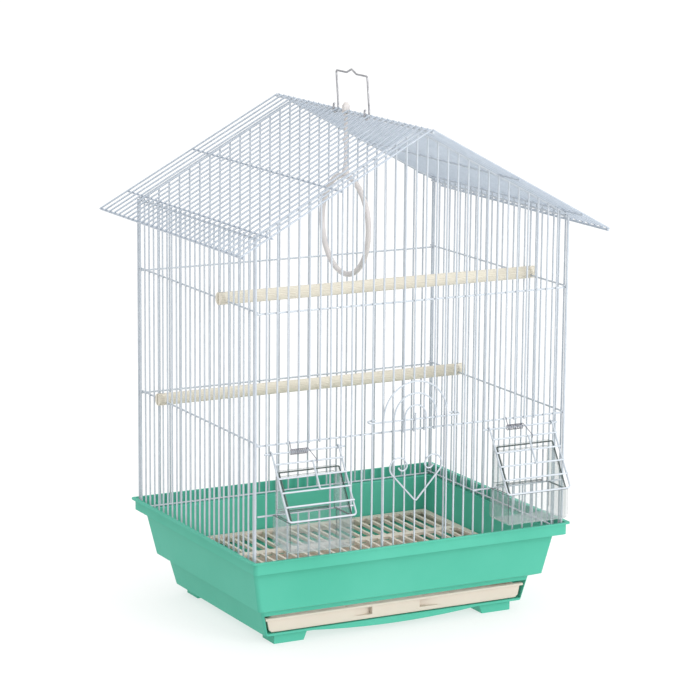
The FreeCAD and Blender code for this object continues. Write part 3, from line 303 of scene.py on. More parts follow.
class Shape:
    """A mesh under construction from bmesh operators.

    Attributes:
        flat_turn: Faces that turn by less than this many degrees are joined.
        cap_height: Height of a wire's rounded end over its radius.
        cap_share: Width of the flat on a wire's rounded end over the wire's.
        bead_flatness: Height of a weld bead over its width.
    """

    flat_turn: float = 0.5
    cap_height: float = 0.35
    cap_share: float = 0.72
    bead_flatness: float = 0.8

    def __init__(self, bm: bmesh.types.BMesh | None = None) -> None:
        """Starts from the given mesh or from an empty one."""
        self.bm = bmesh.new() if bm is None else bm

    @classmethod
    def of_node(cls, node: str) -> "Shape":
        """A copy of a CAD node's mesh with its flat faces joined.

        Args:
            node: Name of the node.

        Returns:
            The shape.
        """
        shape = cls(merged(node))
        bmesh.ops.dissolve_limit(shape.bm, angle_limit=math.radians(cls.flat_turn), verts=shape.bm.verts,
                                 edges=shape.bm.edges)
        return shape

    def wire(self, path: list[Vector], radius: float, sides: int = 12) -> None:
        """Sweeps a round wire along a path and rounds its two ends.

        Args:
            path: Points of the wire's middle line.
            radius: Radius of the wire.
            sides: Number of sides of the wire.
        """
        inset = self.cap_height * radius
        runs = [(end - start).normalized() for start, end in zip(path, path[1:])]
        turns = [runs[0]] + [(a + b).normalized() for a, b in zip(runs, runs[1:])] + [runs[-1]]
        places = list(path)
        places[0] = path[0] + runs[0] * inset
        places[-1] = path[-1] - runs[-1] * inset
        stand = turns[0].to_track_quat("Z", "Y").to_matrix().to_4x4()
        ring = bmesh.ops.create_circle(self.bm, segments=sides, radius=radius,
                                       matrix=Matrix.Translation(places[0]) @ stand)["verts"]
        first = self.between(ring)
        edges = first
        for k in range(1, len(places)):
            turn = turns[k - 1].rotation_difference(turns[k]).to_matrix().to_4x4()
            move = Matrix.Translation(places[k]) @ turn @ Matrix.Translation(-places[k - 1])
            edges = self.extruded(edges, move)
        self.close(first, places[0], -runs[0] * inset)
        self.close(edges, places[-1], runs[-1] * inset)

    def between(self, verts: list[bmesh.types.BMVert]) -> list[bmesh.types.BMEdge]:
        """The edges that join the given points to each other.

        Args:
            verts: The points.

        Returns:
            The edges.
        """
        chosen = set(verts)
        return list(dict.fromkeys(edge for vert in verts for edge in vert.link_edges
                                  if edge.other_vert(vert) in chosen))

    def extruded(self, edges: list[bmesh.types.BMEdge], move: Matrix) -> list[bmesh.types.BMEdge]:
        """Extrudes a ring of edges and moves the new ring.

        Args:
            edges: The ring.
            move: Transform of the new ring.

        Returns:
            The new ring's edges.
        """
        grown = bmesh.ops.extrude_edge_only(self.bm, edges=edges)["geom"]
        verts = [item for item in grown if isinstance(item, bmesh.types.BMVert)]
        bmesh.ops.transform(self.bm, matrix=move, verts=verts)
        return self.between(verts)

    def close(self, edges: list[bmesh.types.BMEdge], centre: Vector, reach: Vector) -> None:
        """Closes a ring with a slightly domed cap.

        Args:
            edges: The ring.
            centre: Middle of the ring.
            reach: Way from the ring to the cap's face.
        """
        taper = Matrix.Scale(self.cap_share, 4)
        move = Matrix.Translation(centre + reach) @ taper @ Matrix.Translation(-centre)
        bmesh.ops.edgeloop_fill(self.bm, edges=self.extruded(edges, move))

    def bead(self, at: Vector, normal: Vector, size: float) -> None:
        """Adds the small blob of a spot weld.

        Args:
            at: Middle of the weld.
            normal: Direction from one wire to the other.
            size: Radius of the blob.
        """
        stand = normal.to_track_quat("Z", "Y").to_matrix().to_4x4()
        flat = Matrix.Diagonal((1, 1, self.bead_flatness, 1))
        bmesh.ops.create_icosphere(self.bm, subdivisions=1, radius=size,
                                   matrix=Matrix.Translation(at) @ stand @ flat)

    def soften(self, width: float, segments: int = 2, turn: float = 28.0, tall: float = 0.0) -> None:
        """Rounds the sharp edges.

        Args:
            width: Width of the rounding.
            segments: Steps of the rounding.
            turn: Smallest angle in degrees between two faces that counts as sharp.
            tall: Where above 0, only outer corners that stand at least this high are rounded.
        """
        sharp = [edge for edge in self.bm.edges
                 if len(edge.link_faces) == 2 and edge.calc_face_angle() > math.radians(turn)
                 and (not tall or edge.is_convex and self.height(edge) > tall)]
        bmesh.ops.bevel(self.bm, geom=sharp, offset=width, offset_type="OFFSET", affect="EDGES",
                        segments=segments, profile=0.5, material=-1, clamp_overlap=True)

    def height(self, edge: bmesh.types.BMEdge) -> float:
        """Height that an edge rises."""
        return abs(edge.verts[0].co.z - edge.verts[1].co.z)

    def paint_edge_shade(self, width: float, above: float) -> None:
        """Gives narrow faces the second material, which holds painted shade for dark edges.

        Args:
            width: Faces are taken whose area, doubled, is less than this times their perimeter.
            above: Lowest level of a face that is taken.
        """
        for face in self.bm.faces:
            narrow = 2 * face.calc_area() < width * face.calc_perimeter()
            face.material_index = int(narrow and face.calc_center_median().z > above)

    def finish(self, name: str, finish: Finish, body: str | None, slot: str,
               nodes: tuple[str, ...], smooth: float = 32.0, moulded: bool = False,
               shaded_edge_finish: Finish | None = None) -> bpy.types.Object:
        """Turns the mesh into a piece of the object.

        Args:
            name: Name of the piece.
            finish: Its surface finish.
            body: The body that it moves with, or None for a piece that bends between two.
            slot: The record's material slot; not used.
            nodes: CAD nodes that it stands for.
            smooth: Edges flatter than this many degrees are shaded smooth.
            moulded: Whether large flat faces between small roundings are shaded flat.
            shaded_edge_finish: Finish of the faces that trim() marked, with painted shade on those
                narrow faces.

        Returns:
            The piece.
        """
        bmesh.ops.recalc_face_normals(self.bm, faces=self.bm.faces)
        mesh = bpy.data.meshes.new(name)
        self.bm.to_mesh(mesh)
        self.bm.free()
        mesh.shade_smooth()
        mesh.set_sharp_from_angle(angle=math.radians(smooth))
        for surface in filter(None, (finish, shaded_edge_finish)):
            mesh.materials.append(bpy.data.materials.get(surface.name) or surface.material())
        piece = bpy.data.objects.new(name, mesh)
        if moulded:
            even = piece.modifiers.new("even_faces", "WEIGHTED_NORMAL")
            even.keep_sharp = True
        bpy.context.scene.collection.objects.link(piece)
        if body:
            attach(piece, body)
        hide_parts(*nodes)
        log.info("%s: %d faces on %s", name, len(mesh.polygons), body or "two bodies")
        return piece


def arc(centre: Vector, first: Vector, second: Vector, start: float, end: float,
        step: float = 9.0) -> list[Vector]:
    """Points of an arc.

    Args:
        centre: Middle of the arc.
        first: Radius at 0 degrees.
        second: Radius at 90 degrees.
        start: First angle in degrees.
        end: Last angle in degrees.
        step: Degrees between two points.

    Returns:
        The points.
    """
    steps = max(1, round(abs(end - start) / step))
    turns = [math.radians(start + (end - start) * k / steps) for k in range(steps + 1)]
    return [centre + first * math.cos(turn) + second * math.sin(turn) for turn in turns]


def bend(points: list[Vector], radius: float) -> list[Vector]:
    """Rounds the inner corners of a path.

    Args:
        points: Corners of the path.
        radius: Radius of each bend.

    Returns:
        The path's points.
    """
    path = [points[0]]
    for before, corner, after in zip(points, points[1:], points[2:]):
        back = (before - corner).normalized()
        ahead = (after - corner).normalized()
        half = back.angle(ahead) / 2
        centre = corner + (back + ahead).normalized() * (radius / math.sin(half))
        first = corner + back * (radius / math.tan(half)) - centre
        path += arc(centre, first, back * -radius, 0, 180 - 2 * math.degrees(half))
    path.append(points[-1])
    return [point for k, point in enumerate(path)
            if k == 0 or (point - path[k - 1]).length > SHORT_STEP]


@dataclass
class Wire:
    """A straight wire read from a CAD node."""

    start: Vector
    end: Vector
    radius: float


def straight_wires(node: str) -> list[Wire]:
    """Reads the straight wires of a CAD node.

    Args:
        node: Name of the node.

    Returns:
        One wire for each separate solid.
    """
    bm = merged(node)
    bm.verts.index_update()
    seen: set[int] = set()
    wires = []
    for vert in bm.verts:
        if vert.index in seen:
            continue
        seen.add(vert.index)
        island = [vert]
        for member in island:
            for edge in member.link_edges:
                other = edge.other_vert(member)
                if other.index not in seen:
                    seen.add(other.index)
                    island.append(other)
        places = [member.co.copy() for member in island]
        reach = max((place - places[0]).length for place in places) / 2
        ends = []
        for far in (False, True):
            side = [place for place in places if ((place - places[0]).length > reach) is far]
            ends.append(sum(side, Vector()) / len(side))
        corner = (places[0] - ends[0]).length
        wires.append(Wire(ends[0], ends[1], corner * math.cos(math.pi / NODE_WIRE_SIDES)))
    bm.free()
    return wires


@dataclass
class WeldedWires:
    """Straight coated wires welded where they cross."""

    node: str
    finish: Finish
    body: str = "wire_cage"
    bead_share: float = 1.05

    def build(self) -> None:
        """Makes the round wires and the weld beads of one node."""
        shape = Shape()
        wires = straight_wires(self.node)
        for wire in wires:
            shape.wire([wire.start, wire.end], wire.radius)
        for first, second in combinations(wires, 2):
            self.weld(shape, first, second)
        shape.finish(f"{self.node}_wires", self.finish, self.body, "coated_wire", (self.node,))

    def weld(self, shape: Shape, first: Wire, second: Wire) -> None:
        """Adds a bead where two wires touch.

        Args:
            shape: Mesh that takes the bead.
            first: One wire.
            second: The other wire.
        """
        near = intersect_line_line(first.start, first.end, second.start, second.end)
        if near is None:
            return
        for place, wire in zip(near, (first, second)):
            along = wire.end - wire.start
            share = (place - wire.start).dot(along) / along.length_squared
            if not 0 <= share <= 1:
                return
        gap = near[1] - near[0]
        if TOUCH < gap.length < first.radius + second.radius + TOUCH:
            thin = min(first.radius, second.radius)
            at = near[0] + gap * (first.radius / (first.radius + second.radius))
            shape.bead(at, gap, thin * self.bead_share)


# Door


@dataclass
class Door:
    """The sliding door: three hairpins, a short middle wire, two guides and a heart.

    Attributes:
        pins: Number of hairpins.
        pitch: Distance between two upright wires.
        wire: Radius of the wire.
        top_step: Degrees between two points of a hairpin's top.
        stub: Height of the middle wire above the upper guide.
        weld_drop: Distance of a weld bead below its guide's middle.
        loop_tail: Length of a guide's end behind the panel.
        lobe_reach: Distance of a lobe's centre from the heart's middle.
        lobe_rise: Height of a lobe's centre above the heart's point.
        lobe_radius: Radius of a lobe.
        curl: Angle at which a lobe turns into its scroll.
        scroll_radius: Radius of the scroll.
        scroll: Turn of the scroll in degrees.
        scroll_step: Degrees between two points of the scroll.
        tip_radius: Bend at the heart's point.
    """

    pins: int = 3
    pitch: float = 11.47 * MM
    wire: float = 0.8 * MM
    top_step: float = 6.0
    stub: float = 4.0 * MM
    weld_drop: float = 0.4 * MM
    loop_tail: float = 7.0 * MM
    lobe_reach: float = 18.9 * MM
    lobe_rise: float = 34.6 * MM
    lobe_radius: float = 9.4 * MM
    curl: float = 165.0
    scroll_radius: float = 4.7 * MM
    scroll: float = 180.0
    scroll_step: float = 12.0
    tip_radius: float = 2.0 * MM

    def build(self) -> None:
        """Makes the door's wires."""
        self.hairpins()
        for node in ("door_guide_upper", "door_guide_lower"):
            self.guide(node)
        self.heart()

    def hairpins(self) -> None:
        """The round-topped wires and the middle wire, welded on the two guides."""
        shape = Shape()
        low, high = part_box("door_wires")
        plane = middle("door_wires").y
        centre = high[2] - self.wire - self.pins * self.pitch
        rows = [middle(node).z for node in ("door_guide_upper", "door_guide_lower")]
        for pin in range(self.pins, 0, -1):
            half = pin * self.pitch
            top = Vector((0, plane, centre))
            path = [Vector((half, plane, low[2]))]
            path += arc(top, Axis.RIGHT.vector * half, Axis.UP.vector * half, 0, 180, self.top_step)
            shape.wire(path + [Vector((-half, plane, low[2]))], self.wire)
        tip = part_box("door_guide_upper")[1][2] + self.stub
        shape.wire([Vector((0, plane, low[2])), Vector((0, plane, tip))], self.wire)
        for k in range(-self.pins, self.pins + 1):
            for row in rows:
                weld = Vector((k * self.pitch, plane + self.wire, row - self.weld_drop))
                shape.bead(weld, Axis.BACK.vector, self.wire)
        shape.finish("door_hairpins", COATED, "door", "coated_wire", ("door_wires",))

    def guide(self, node: str) -> None:
        """A cross wire whose ends loop round the panel's wires.

        Args:
            node: The CAD node that it stands for.
        """
        low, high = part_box(node)
        front = Vector((0, low[1] + self.wire, low[2] + self.wire))
        back = Vector((0, high[1] - self.wire, high[2] - self.wire))
        centre = (front + back) / 2
        behind = back - centre
        reach = high[0] - self.wire - behind.length
        path = []
        for way in (-1, 1):
            ahead = Axis.RIGHT.vector * way
            turn = arc(centre + ahead * reach, behind, ahead * behind.length, 0, 180)
            end = [centre + ahead * (reach - self.loop_tail) + behind] + turn
            path += end if way < 0 else end[::-1]
        shape = Shape()
        shape.wire(path, self.wire)
        shape.finish(f"{node}_wire", COATED, "door", "coated_wire", (node,))

    def heart(self) -> None:
        """The heart of one wire."""
        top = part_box("door_heart")[1][2]
        plane = middle("door_heart").y
        point = Vector((0, plane, top - self.wire - self.lobe_radius - self.lobe_rise))
        lean = math.degrees(math.atan2(self.lobe_reach, self.lobe_rise)
                            + math.asin(self.lobe_radius / math.hypot(self.lobe_reach, self.lobe_rise)))
        curl, up = math.radians(self.curl), Axis.UP.vector
        lobes = []
        for way in (-1, 1):
            ahead = Axis.RIGHT.vector * way
            centre = point + ahead * self.lobe_reach + up * self.lobe_rise
            shift = self.lobe_radius - self.scroll_radius
            inner = centre + (ahead * math.cos(curl) + up * math.sin(curl)) * shift
            lobe = arc(centre, ahead * self.lobe_radius, up * self.lobe_radius, -lean, self.curl)
            scroll = arc(inner, ahead * self.scroll_radius, up * self.scroll_radius, self.curl,
                         self.curl + self.scroll, self.scroll_step)
            lobes.append(lobe + scroll[1:])
        left, right = lobes
        path = left[:0:-1] + bend([left[0], point, right[0]], self.tip_radius) + right[1:]
        shape = Shape()
        shape.wire(path, self.wire)
        shape.finish("door_heart_wire", COATED, "door", "coated_wire", ("door_heart",))


# Feeders


@dataclass
class Feeder:
    """One feeder: its sprung flap over a clear cup.

    Attributes:
        hand: Which feeder it is.
        wire: Radius of the flap's wires.
        width: Width of the flap between its frame's middle lines.
        length: Length of the flap from its hinge.
        lean: Angle of the flap from upright.
        bars: Number of bars across the flap.
        bar_pitch: Distance between two bars.
        corner_radius: Bend of the frame's lower corners.
        loop: Radius of the frame's curl round the hinge wire.
        curl: Turn of that curl in degrees.
        rib_place: Place of the short rib to the right of the middle.
        rib_pitches: Length of the short rib in pitches of the bars.
        spring_wire: Radius of the spring's wire.
        spring_sides: Number of sides of the spring's wire.
        coil_radius: Radius of the coil's middle line.
        coil_start: How far to the left of the flap's middle the coil starts.
        coil_length: Length of the coil.
        coil_turns: Turns of the coil past the angle between its legs.
        coil_step: Degrees between two points of the coil.
        hook: Distance of the legs' hooks from the wires that they hold.
        leg_shift: How far the long leg's hook lies past the coil.
        leg_bend: Bend of the legs and of the hood's rim.
        cup_rounding: Rounding of the cup's edges.
        hood_inset: Distance of the rim from the cup's sides.
        hood_rise: Height of the hood's open front.
        hood_depth: Distance of the rim's top in front of the hinge.
        rim_radius: Radius of the rolled rim.
        narrow_face_width: Faces narrower than this get painted shade as dark edges.
        cup_foot: Height of the rounded foot, whose narrow faces get no painted shade.
    """

    hand: Hand
    wire: float = 0.9 * MM
    width: float = 70.4 * MM
    length: float = 68.2 * MM
    lean: float = math.radians(32.4)
    bars: int = 4
    bar_pitch: float = 14.1 * MM
    corner_radius: float = 3.2 * MM
    loop: float = 1.95 * MM
    curl: float = 215.0
    rib_place: float = 2.8 * MM
    rib_pitches: int = 2
    spring_wire: float = 0.38 * MM
    spring_sides: int = 10
    coil_radius: float = 2.5 * MM
    coil_start: float = 15.0 * MM
    coil_length: float = 18.2 * MM
    coil_turns: float = 8.75
    coil_step: float = 20.0
    hook: float = 1.7 * MM
    leg_shift: float = 4.6 * MM
    leg_bend: float = 1.4 * MM
    cup_rounding: float = 0.55 * MM
    hood_inset: float = 2.3 * MM
    hood_rise: float = 42.0 * MM
    hood_depth: float = 9.2 * MM
    rim_radius: float = 0.75 * MM
    narrow_face_width: float = 1.2 * MM
    cup_foot: float = 5.5 * MM

    def __post_init__(self) -> None:
        """Reads the hinge wire's middle and works out the flap's directions."""
        self.hinge = middle(f"{self.hand}_hinge_wire")
        self.down = Vector((0, -math.sin(self.lean), -math.cos(self.lean)))
        self.out = Vector((0, -math.cos(self.lean), math.sin(self.lean)))

    def build(self) -> None:
        """Makes the flap, its spring and the cup."""
        self.frame()
        self.rungs()
        self.spring()
        self.cup()

    def cup(self) -> None:
        """The clear cup, with a rolled rim round the open front of its hood and painted shade on its
        narrow faces.
        """
        node = f"{self.hand}_feeder_cup"
        low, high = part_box(node)
        shape = Shape.of_node(node)
        shape.soften(self.cup_rounding)
        centre, half = middle(node).x, (high[0] - low[0]) / 2 - self.hood_inset
        front = self.hinge.y - self.hood_depth
        foot = front - self.hood_rise * math.tan(self.lean)
        side = [(foot, high[2] - self.hood_rise), (front, high[2])]
        path = [Vector((centre - half, y, z)) for y, z in side]
        path += [Vector((centre + half, y, z)) for y, z in reversed(side)]
        shape.wire(bend(path, self.leg_bend), self.rim_radius)
        # Narrow faces above the foot take the painted edge shade.
        shape.paint_edge_shade(self.narrow_face_width, low[2] + self.cup_foot)
        shape.finish(f"{self.hand}_cup", CLEAR, "wire_cage", "clear_plastic", (node,),
                     moulded=True, shaded_edge_finish=PAINTED_EDGE_SHADE)

    def frame(self) -> None:
        """The flap's frame, which curls round the hinge wire at both ends."""
        half = Axis.RIGHT.vector * (self.width / 2)
        top = self.hinge + self.out * self.loop
        foot = top + self.down * self.length
        corners = bend([top - half, foot - half, foot + half, top + half], self.corner_radius)
        loops = [arc(self.hinge + side, self.out * self.loop, self.down * -self.loop, 0, self.curl)
                 for side in (-half, half)]
        shape = Shape()
        shape.wire(loops[0][:0:-1] + corners + loops[1][1:], self.wire)
        shape.finish(f"{self.hand}_flap_rim", COATED, f"{self.hand}_flap", "coated_wire",
                     (f"{self.hand}_flap_frame",))

    def places(self) -> list[float]:
        """Places of the bars down the flap, the lowest first."""
        return [self.length - (k + 1) * self.bar_pitch for k in range(self.bars)]

    def rungs(self) -> None:
        """The bars across the flap's outer face and the short rib on them, welded."""
        shape = Shape()
        top = self.hinge + self.out * (self.loop + 2 * self.wire)
        half = Axis.RIGHT.vector * (self.width / 2)
        past = Axis.RIGHT.vector * self.wire
        rib = top + self.out * (2 * self.wire) + Axis.RIGHT.vector * self.rib_place
        places = self.places()
        for place in places:
            at = top + self.down * place
            shape.wire([at - half - past, at + half + past], self.wire)
            for side in (-half, half):
                shape.bead(at + side - self.out * self.wire, self.out, self.wire)
        for place in places[-1 - self.rib_pitches:]:
            shape.bead(rib + self.down * place - self.out * self.wire, self.out, self.wire)
        lowest = places[-1] + self.rib_pitches * self.bar_pitch + self.wire
        shape.wire([rib + self.down * places[-1], rib + self.down * lowest], self.wire)
        shape.finish(f"{self.hand}_flap_rungs", COATED, f"{self.hand}_flap", "coated_wire",
                     (f"{self.hand}_flap_bars",))

    def spring(self) -> None:
        """The torsion spring: a leg over the ring wire, the coil, a leg that hooks over a bar."""
        radius, hook = self.coil_radius, self.hook
        centre = self.hinge - Axis.RIGHT.vector * self.coil_start
        front, up = -Axis.BACK.vector, Axis.UP.vector
        ring_y, ring_z = self.ring_wire()
        ring = Vector((centre.x, ring_y, ring_z))
        corner = ring + (up + front) * hook
        drop = corner - centre
        first = -math.atan2(drop.y, drop.z) - math.asin(radius / drop.yz.length)
        bar = self.down * self.places()[-1] + self.out * (self.loop + 2 * self.wire)
        lean = math.atan2(-bar.z, -bar.y) + math.asin((radius - hook) / bar.length)
        last = lean + math.tau * self.coil_turns
        count = round(math.degrees(last - first) / self.coil_step)
        coil = []
        for step in range(count + 1):
            angle = first + (last - first) * step / count
            coil.append(centre + Axis.RIGHT.vector * (self.coil_length * step / count)
                        + front * (radius * math.cos(angle)) - up * (radius * math.sin(angle)))
        along = front * math.cos(lean) - up * math.sin(lean)
        over = front * math.sin(lean) + up * math.cos(lean)
        bar += centre + Axis.RIGHT.vector * (self.coil_length + self.leg_shift)
        short_leg = bend([ring - front * hook, ring + (up - front) * hook, corner, coil[0]],
                         self.leg_bend)
        long_leg = bend([coil[-1], bar + (along + over) * hook, bar + (along - over) * hook],
                        self.leg_bend)
        shape = Shape()
        shape.wire(short_leg[:-1] + coil + long_leg[1:], self.spring_wire, self.spring_sides)
        piece = shape.finish(f"{self.hand}_flap_spring", SPRUNG, None, "bare_wire", ("flap_springs",))
        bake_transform(piece)

    def ring_wire(self) -> tuple[float, float]:
        """Place of the front panel's ring wire above the hinge.

        Returns:
            Its depth and its height.
        """
        level = [wire for wire in straight_wires("front_panel")
                 if abs(wire.start.z - wire.end.z) < TOUCH]
        nearest = min(level, key=lambda wire: abs(wire.start.z - self.hinge.z))
        return nearest.start.y, nearest.start.z


# Tub, tray and grille


@dataclass
class Mouldings:
    """The plastic mouldings, with the small roundings that a mould leaves on edges."""

    tub_rounding: float = 0.9 * MM
    tub_steps: int = 3
    corner_rounding: float = 2.4 * MM
    corner_steps: int = 5
    corner_turn: float = 60.0
    corner_height: float = 8.0 * MM
    tray_rounding: float = 0.6 * MM
    plate_depth: float = 2.8 * MM
    plate_gap: float = 0.5 * MM
    grille_rounding: float = 0.45 * MM

    def build(self) -> None:
        """Makes the tub, the tray and the grille."""
        self.tub()
        self.tray()
        self.grille()

    def tub(self) -> None:
        """The stepped tub."""
        shape = Shape.of_node("base_tub")
        shape.soften(self.corner_rounding, self.corner_steps, self.corner_turn, self.corner_height)
        shape.soften(self.tub_rounding, self.tub_steps)
        shape.finish("tub_shell", GREEN, "tub", "green_plastic", ("base_tub",), moulded=True)

    def tray(self) -> None:
        """The pull-out tray, with a gap under its front plate."""
        shape = Shape.of_node("waste_tray")
        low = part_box("waste_tray")[0]
        foot = [vert for vert in shape.bm.verts
                if vert.co.z - low[2] < TOUCH and vert.co.y - low[1] < self.plate_depth]
        bmesh.ops.translate(shape.bm, vec=Axis.UP.vector * self.plate_gap, verts=foot)
        shape.soften(self.tray_rounding)
        shape.finish("tray_shell", CREAM, "tray", "cream_plastic", ("waste_tray",), moulded=True)

    def grille(self) -> None:
        """The slotted floor grille."""
        shape = Shape.of_node("floor_grille")
        shape.soften(self.grille_rounding)
        shape.finish("grille_plate", CREAM, "grille", "cream_plastic", ("floor_grille",), moulded=True)


# Perches and swing


@dataclass
class Perch:
    """A ribbed round perch, forked round a wire at both ends.

    Attributes:
        node: The CAD node that it stands for.
        ribs: Number of ribs.
        rib_points: Points of the outline in one rib, of which the first lies in the groove.
        rib_depth: Depth of a groove.
        rib_turn: Smallest angle in degrees that is shaded as an edge.
        end_band: Width of the band of faces at both ends.
        fork_length: Depth of the fork.
        fork_width: Width of the fork.
    """

    node: str
    ribs: int = 20
    rib_points: int = 4
    rib_depth: float = 0.45 * MM
    rib_turn: float = 20.0
    end_band: float = 0.6 * MM
    fork_length: float = 7.4 * MM
    fork_width: float = 2.4 * MM

    def build(self) -> None:
        """Makes the perch from a ribbed outline drawn out along X."""
        low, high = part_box(self.node)
        radius = (high[2] - low[2]) / 2
        centre = Vector((low[0], *middle(self.node).yz))
        shape = Shape()
        stand = Matrix.Translation(centre) @ Matrix.Rotation(math.pi / 2, 4, "Y")
        ring = bmesh.ops.create_circle(shape.bm, segments=self.rib_points * self.ribs, radius=radius,
                                       matrix=stand)["verts"]
        share = (radius - self.rib_depth) / radius
        for vert in ring[::self.rib_points]:
            vert.co.yz = centre.yz + (vert.co.yz - centre.yz) * share
        edges = shape.between(ring)
        length = high[0] - low[0]
        stops = [0.0, self.end_band, length - self.end_band, length]
        first = edges
        for start, end in zip(stops, stops[1:]):
            edges = shape.extruded(edges, Matrix.Translation(Axis.RIGHT.vector * (end - start)))
        bmesh.ops.edgeloop_fill(shape.bm, edges=first)
        bmesh.ops.edgeloop_fill(shape.bm, edges=edges)
        piece = shape.finish(f"{self.node}_rod", RIBBED, "wire_cage", "perch_plastic", (self.node,),
                             self.rib_turn)
        self.fork(piece, centre, low[0], high[0])

    def fork(self, piece: bpy.types.Object, centre: Vector, left: float, right: float) -> None:
        """Cuts the fork into both ends.

        Args:
            piece: The perch.
            centre: Middle of its left end.
            left: Place of the left end.
            right: Place of the right end.
        """
        cutter = bmesh.new()
        size = Matrix.Diagonal((2 * self.fork_length, self.fork_width, 1, 1))
        for end in (left, right):
            place = Matrix.Translation((end, centre.y, centre.z))
            bmesh.ops.create_cube(cutter, size=1, matrix=place @ size)
        mesh = bpy.data.meshes.new("fork_cutter")
        cutter.to_mesh(mesh)
        cutter.free()
        tool = bpy.data.objects.new("fork_cutter", mesh)
        bpy.context.scene.collection.objects.link(tool)
        cut = piece.modifiers.new("fork", "BOOLEAN")
        cut.operation = "DIFFERENCE"
        cut.object = tool
        cut.solver = "EXACT"
        bpy.context.view_layer.update()
        depsgraph = bpy.context.evaluated_depsgraph_get()
        shaped = bpy.data.meshes.new_from_object(piece.evaluated_get(depsgraph))
        piece.modifiers.clear()
        piece.data = shaped
        bpy.data.objects.remove(tool)


@dataclass
class Swing:
    """The hoop and its hanger on the ridge wire.

    Attributes:
        growth: Difference between the hoop's radius and its solid's.
        hoop_sides: Number of sides of the hoop's section.
        hoop_steps: Steps round the hoop.
        head_drop: Way that the flat head is lowered under its dome.
        head_rounding: Rounding of the head's upright edges.
        head_steps: Steps of that rounding.
        edge_rounding: Rounding of the hanger's other edges.
        dome: Radii of the dome along X, Y and Z.
        dome_drop: Distance of the dome's middle below the flat head.
        dome_rings: Number of rings of the dome.
        stem_radius: Radius of the stem.
        flare_radius: Radius of the stem's flared foot.
        flare_height: Height of the flare.
        flatness: Depth of the stem over its width.
        sides: Number of sides of the dome, the stem and the flare.
    """

    growth: float = 3.0 * MM
    hoop_sides: int = 14
    hoop_steps: int = 72
    head_drop: float = 6.2 * MM
    head_rounding: float = 0.9 * MM
    head_steps: int = 3
    edge_rounding: float = 0.4 * MM
    dome: tuple[float, float, float] = (2.9 * MM, 2.1 * MM, 3.4 * MM)
    dome_drop: float = 0.3 * MM
    dome_rings: int = 12
    stem_radius: float = 1.8 * MM
    flare_radius: float = 4.4 * MM
    flare_height: float = 12.0 * MM
    flatness: float = 0.8
    sides: int = 20

    def build(self) -> None:
        """Makes the hoop and the hanger."""
        self.hoop()
        self.hanger()

    def hoop(self) -> None:
        """The round hoop, spun about its own axis."""
        low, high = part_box("swing_ring")
        thickness = (high[0] - low[0]) / 2
        centre = middle("swing_ring") + Axis.UP.vector * self.growth
        reach = (high[2] - low[2]) / 2 - thickness + self.growth
        shape = Shape()
        stand = Matrix.Translation(centre + Axis.BACK.vector * reach)
        ring = bmesh.ops.create_circle(shape.bm, segments=self.hoop_sides, radius=thickness,
                                       matrix=stand)["verts"]
        bmesh.ops.spin(shape.bm, geom=ring + shape.between(ring), cent=centre, axis=Axis.RIGHT.value,
                       angle=math.tau, steps=self.hoop_steps, use_merge=True, use_duplicate=False)
        shape.finish("swing_hoop", PALE, "swing", "cream_plastic", ("swing_ring",))

    def hanger(self) -> None:
        """The hanger: a rounded head on the ridge wire and a stem that flares out to the hoop."""
        shape = Shape.of_node("swing_hanger")
        top = max(vert.co.z for vert in shape.bm.verts)
        head = [vert for vert in shape.bm.verts if top - vert.co.z < TOUCH]
        bmesh.ops.translate(shape.bm, vec=-Axis.UP.vector * self.head_drop, verts=head)
        shape.soften(self.head_rounding, self.head_steps, tall=self.head_drop)
        shape.soften(self.edge_rounding)
        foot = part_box("swing_ring")[1][2] + 2 * self.growth - self.stem_radius
        rise = middle("ridge_wire").z - foot - self.stem_radius
        place = Vector((0, middle("swing_ring").y, foot))
        crown = Matrix.Translation((place.x, place.y, top - self.head_drop - self.dome_drop))
        bmesh.ops.create_uvsphere(shape.bm, u_segments=self.sides, v_segments=self.dome_rings, radius=1,
                                  matrix=crown @ Matrix.Diagonal((*self.dome, 1)))
        flat = Matrix.Scale(self.flatness, 4, Axis.BACK.vector)
        for wide, narrow, height in ((self.stem_radius, self.stem_radius, rise),
                                     (self.flare_radius, self.stem_radius, self.flare_height)):
            stand = Matrix.Translation(place + Axis.UP.vector * height / 2)
            bmesh.ops.create_cone(shape.bm, cap_ends=True, segments=self.sides, radius1=wide,
                                  radius2=narrow, depth=height, matrix=stand @ flat)
        shape.finish("swing_hook", PALE, "swing", "cream_plastic", ("swing_hanger",))


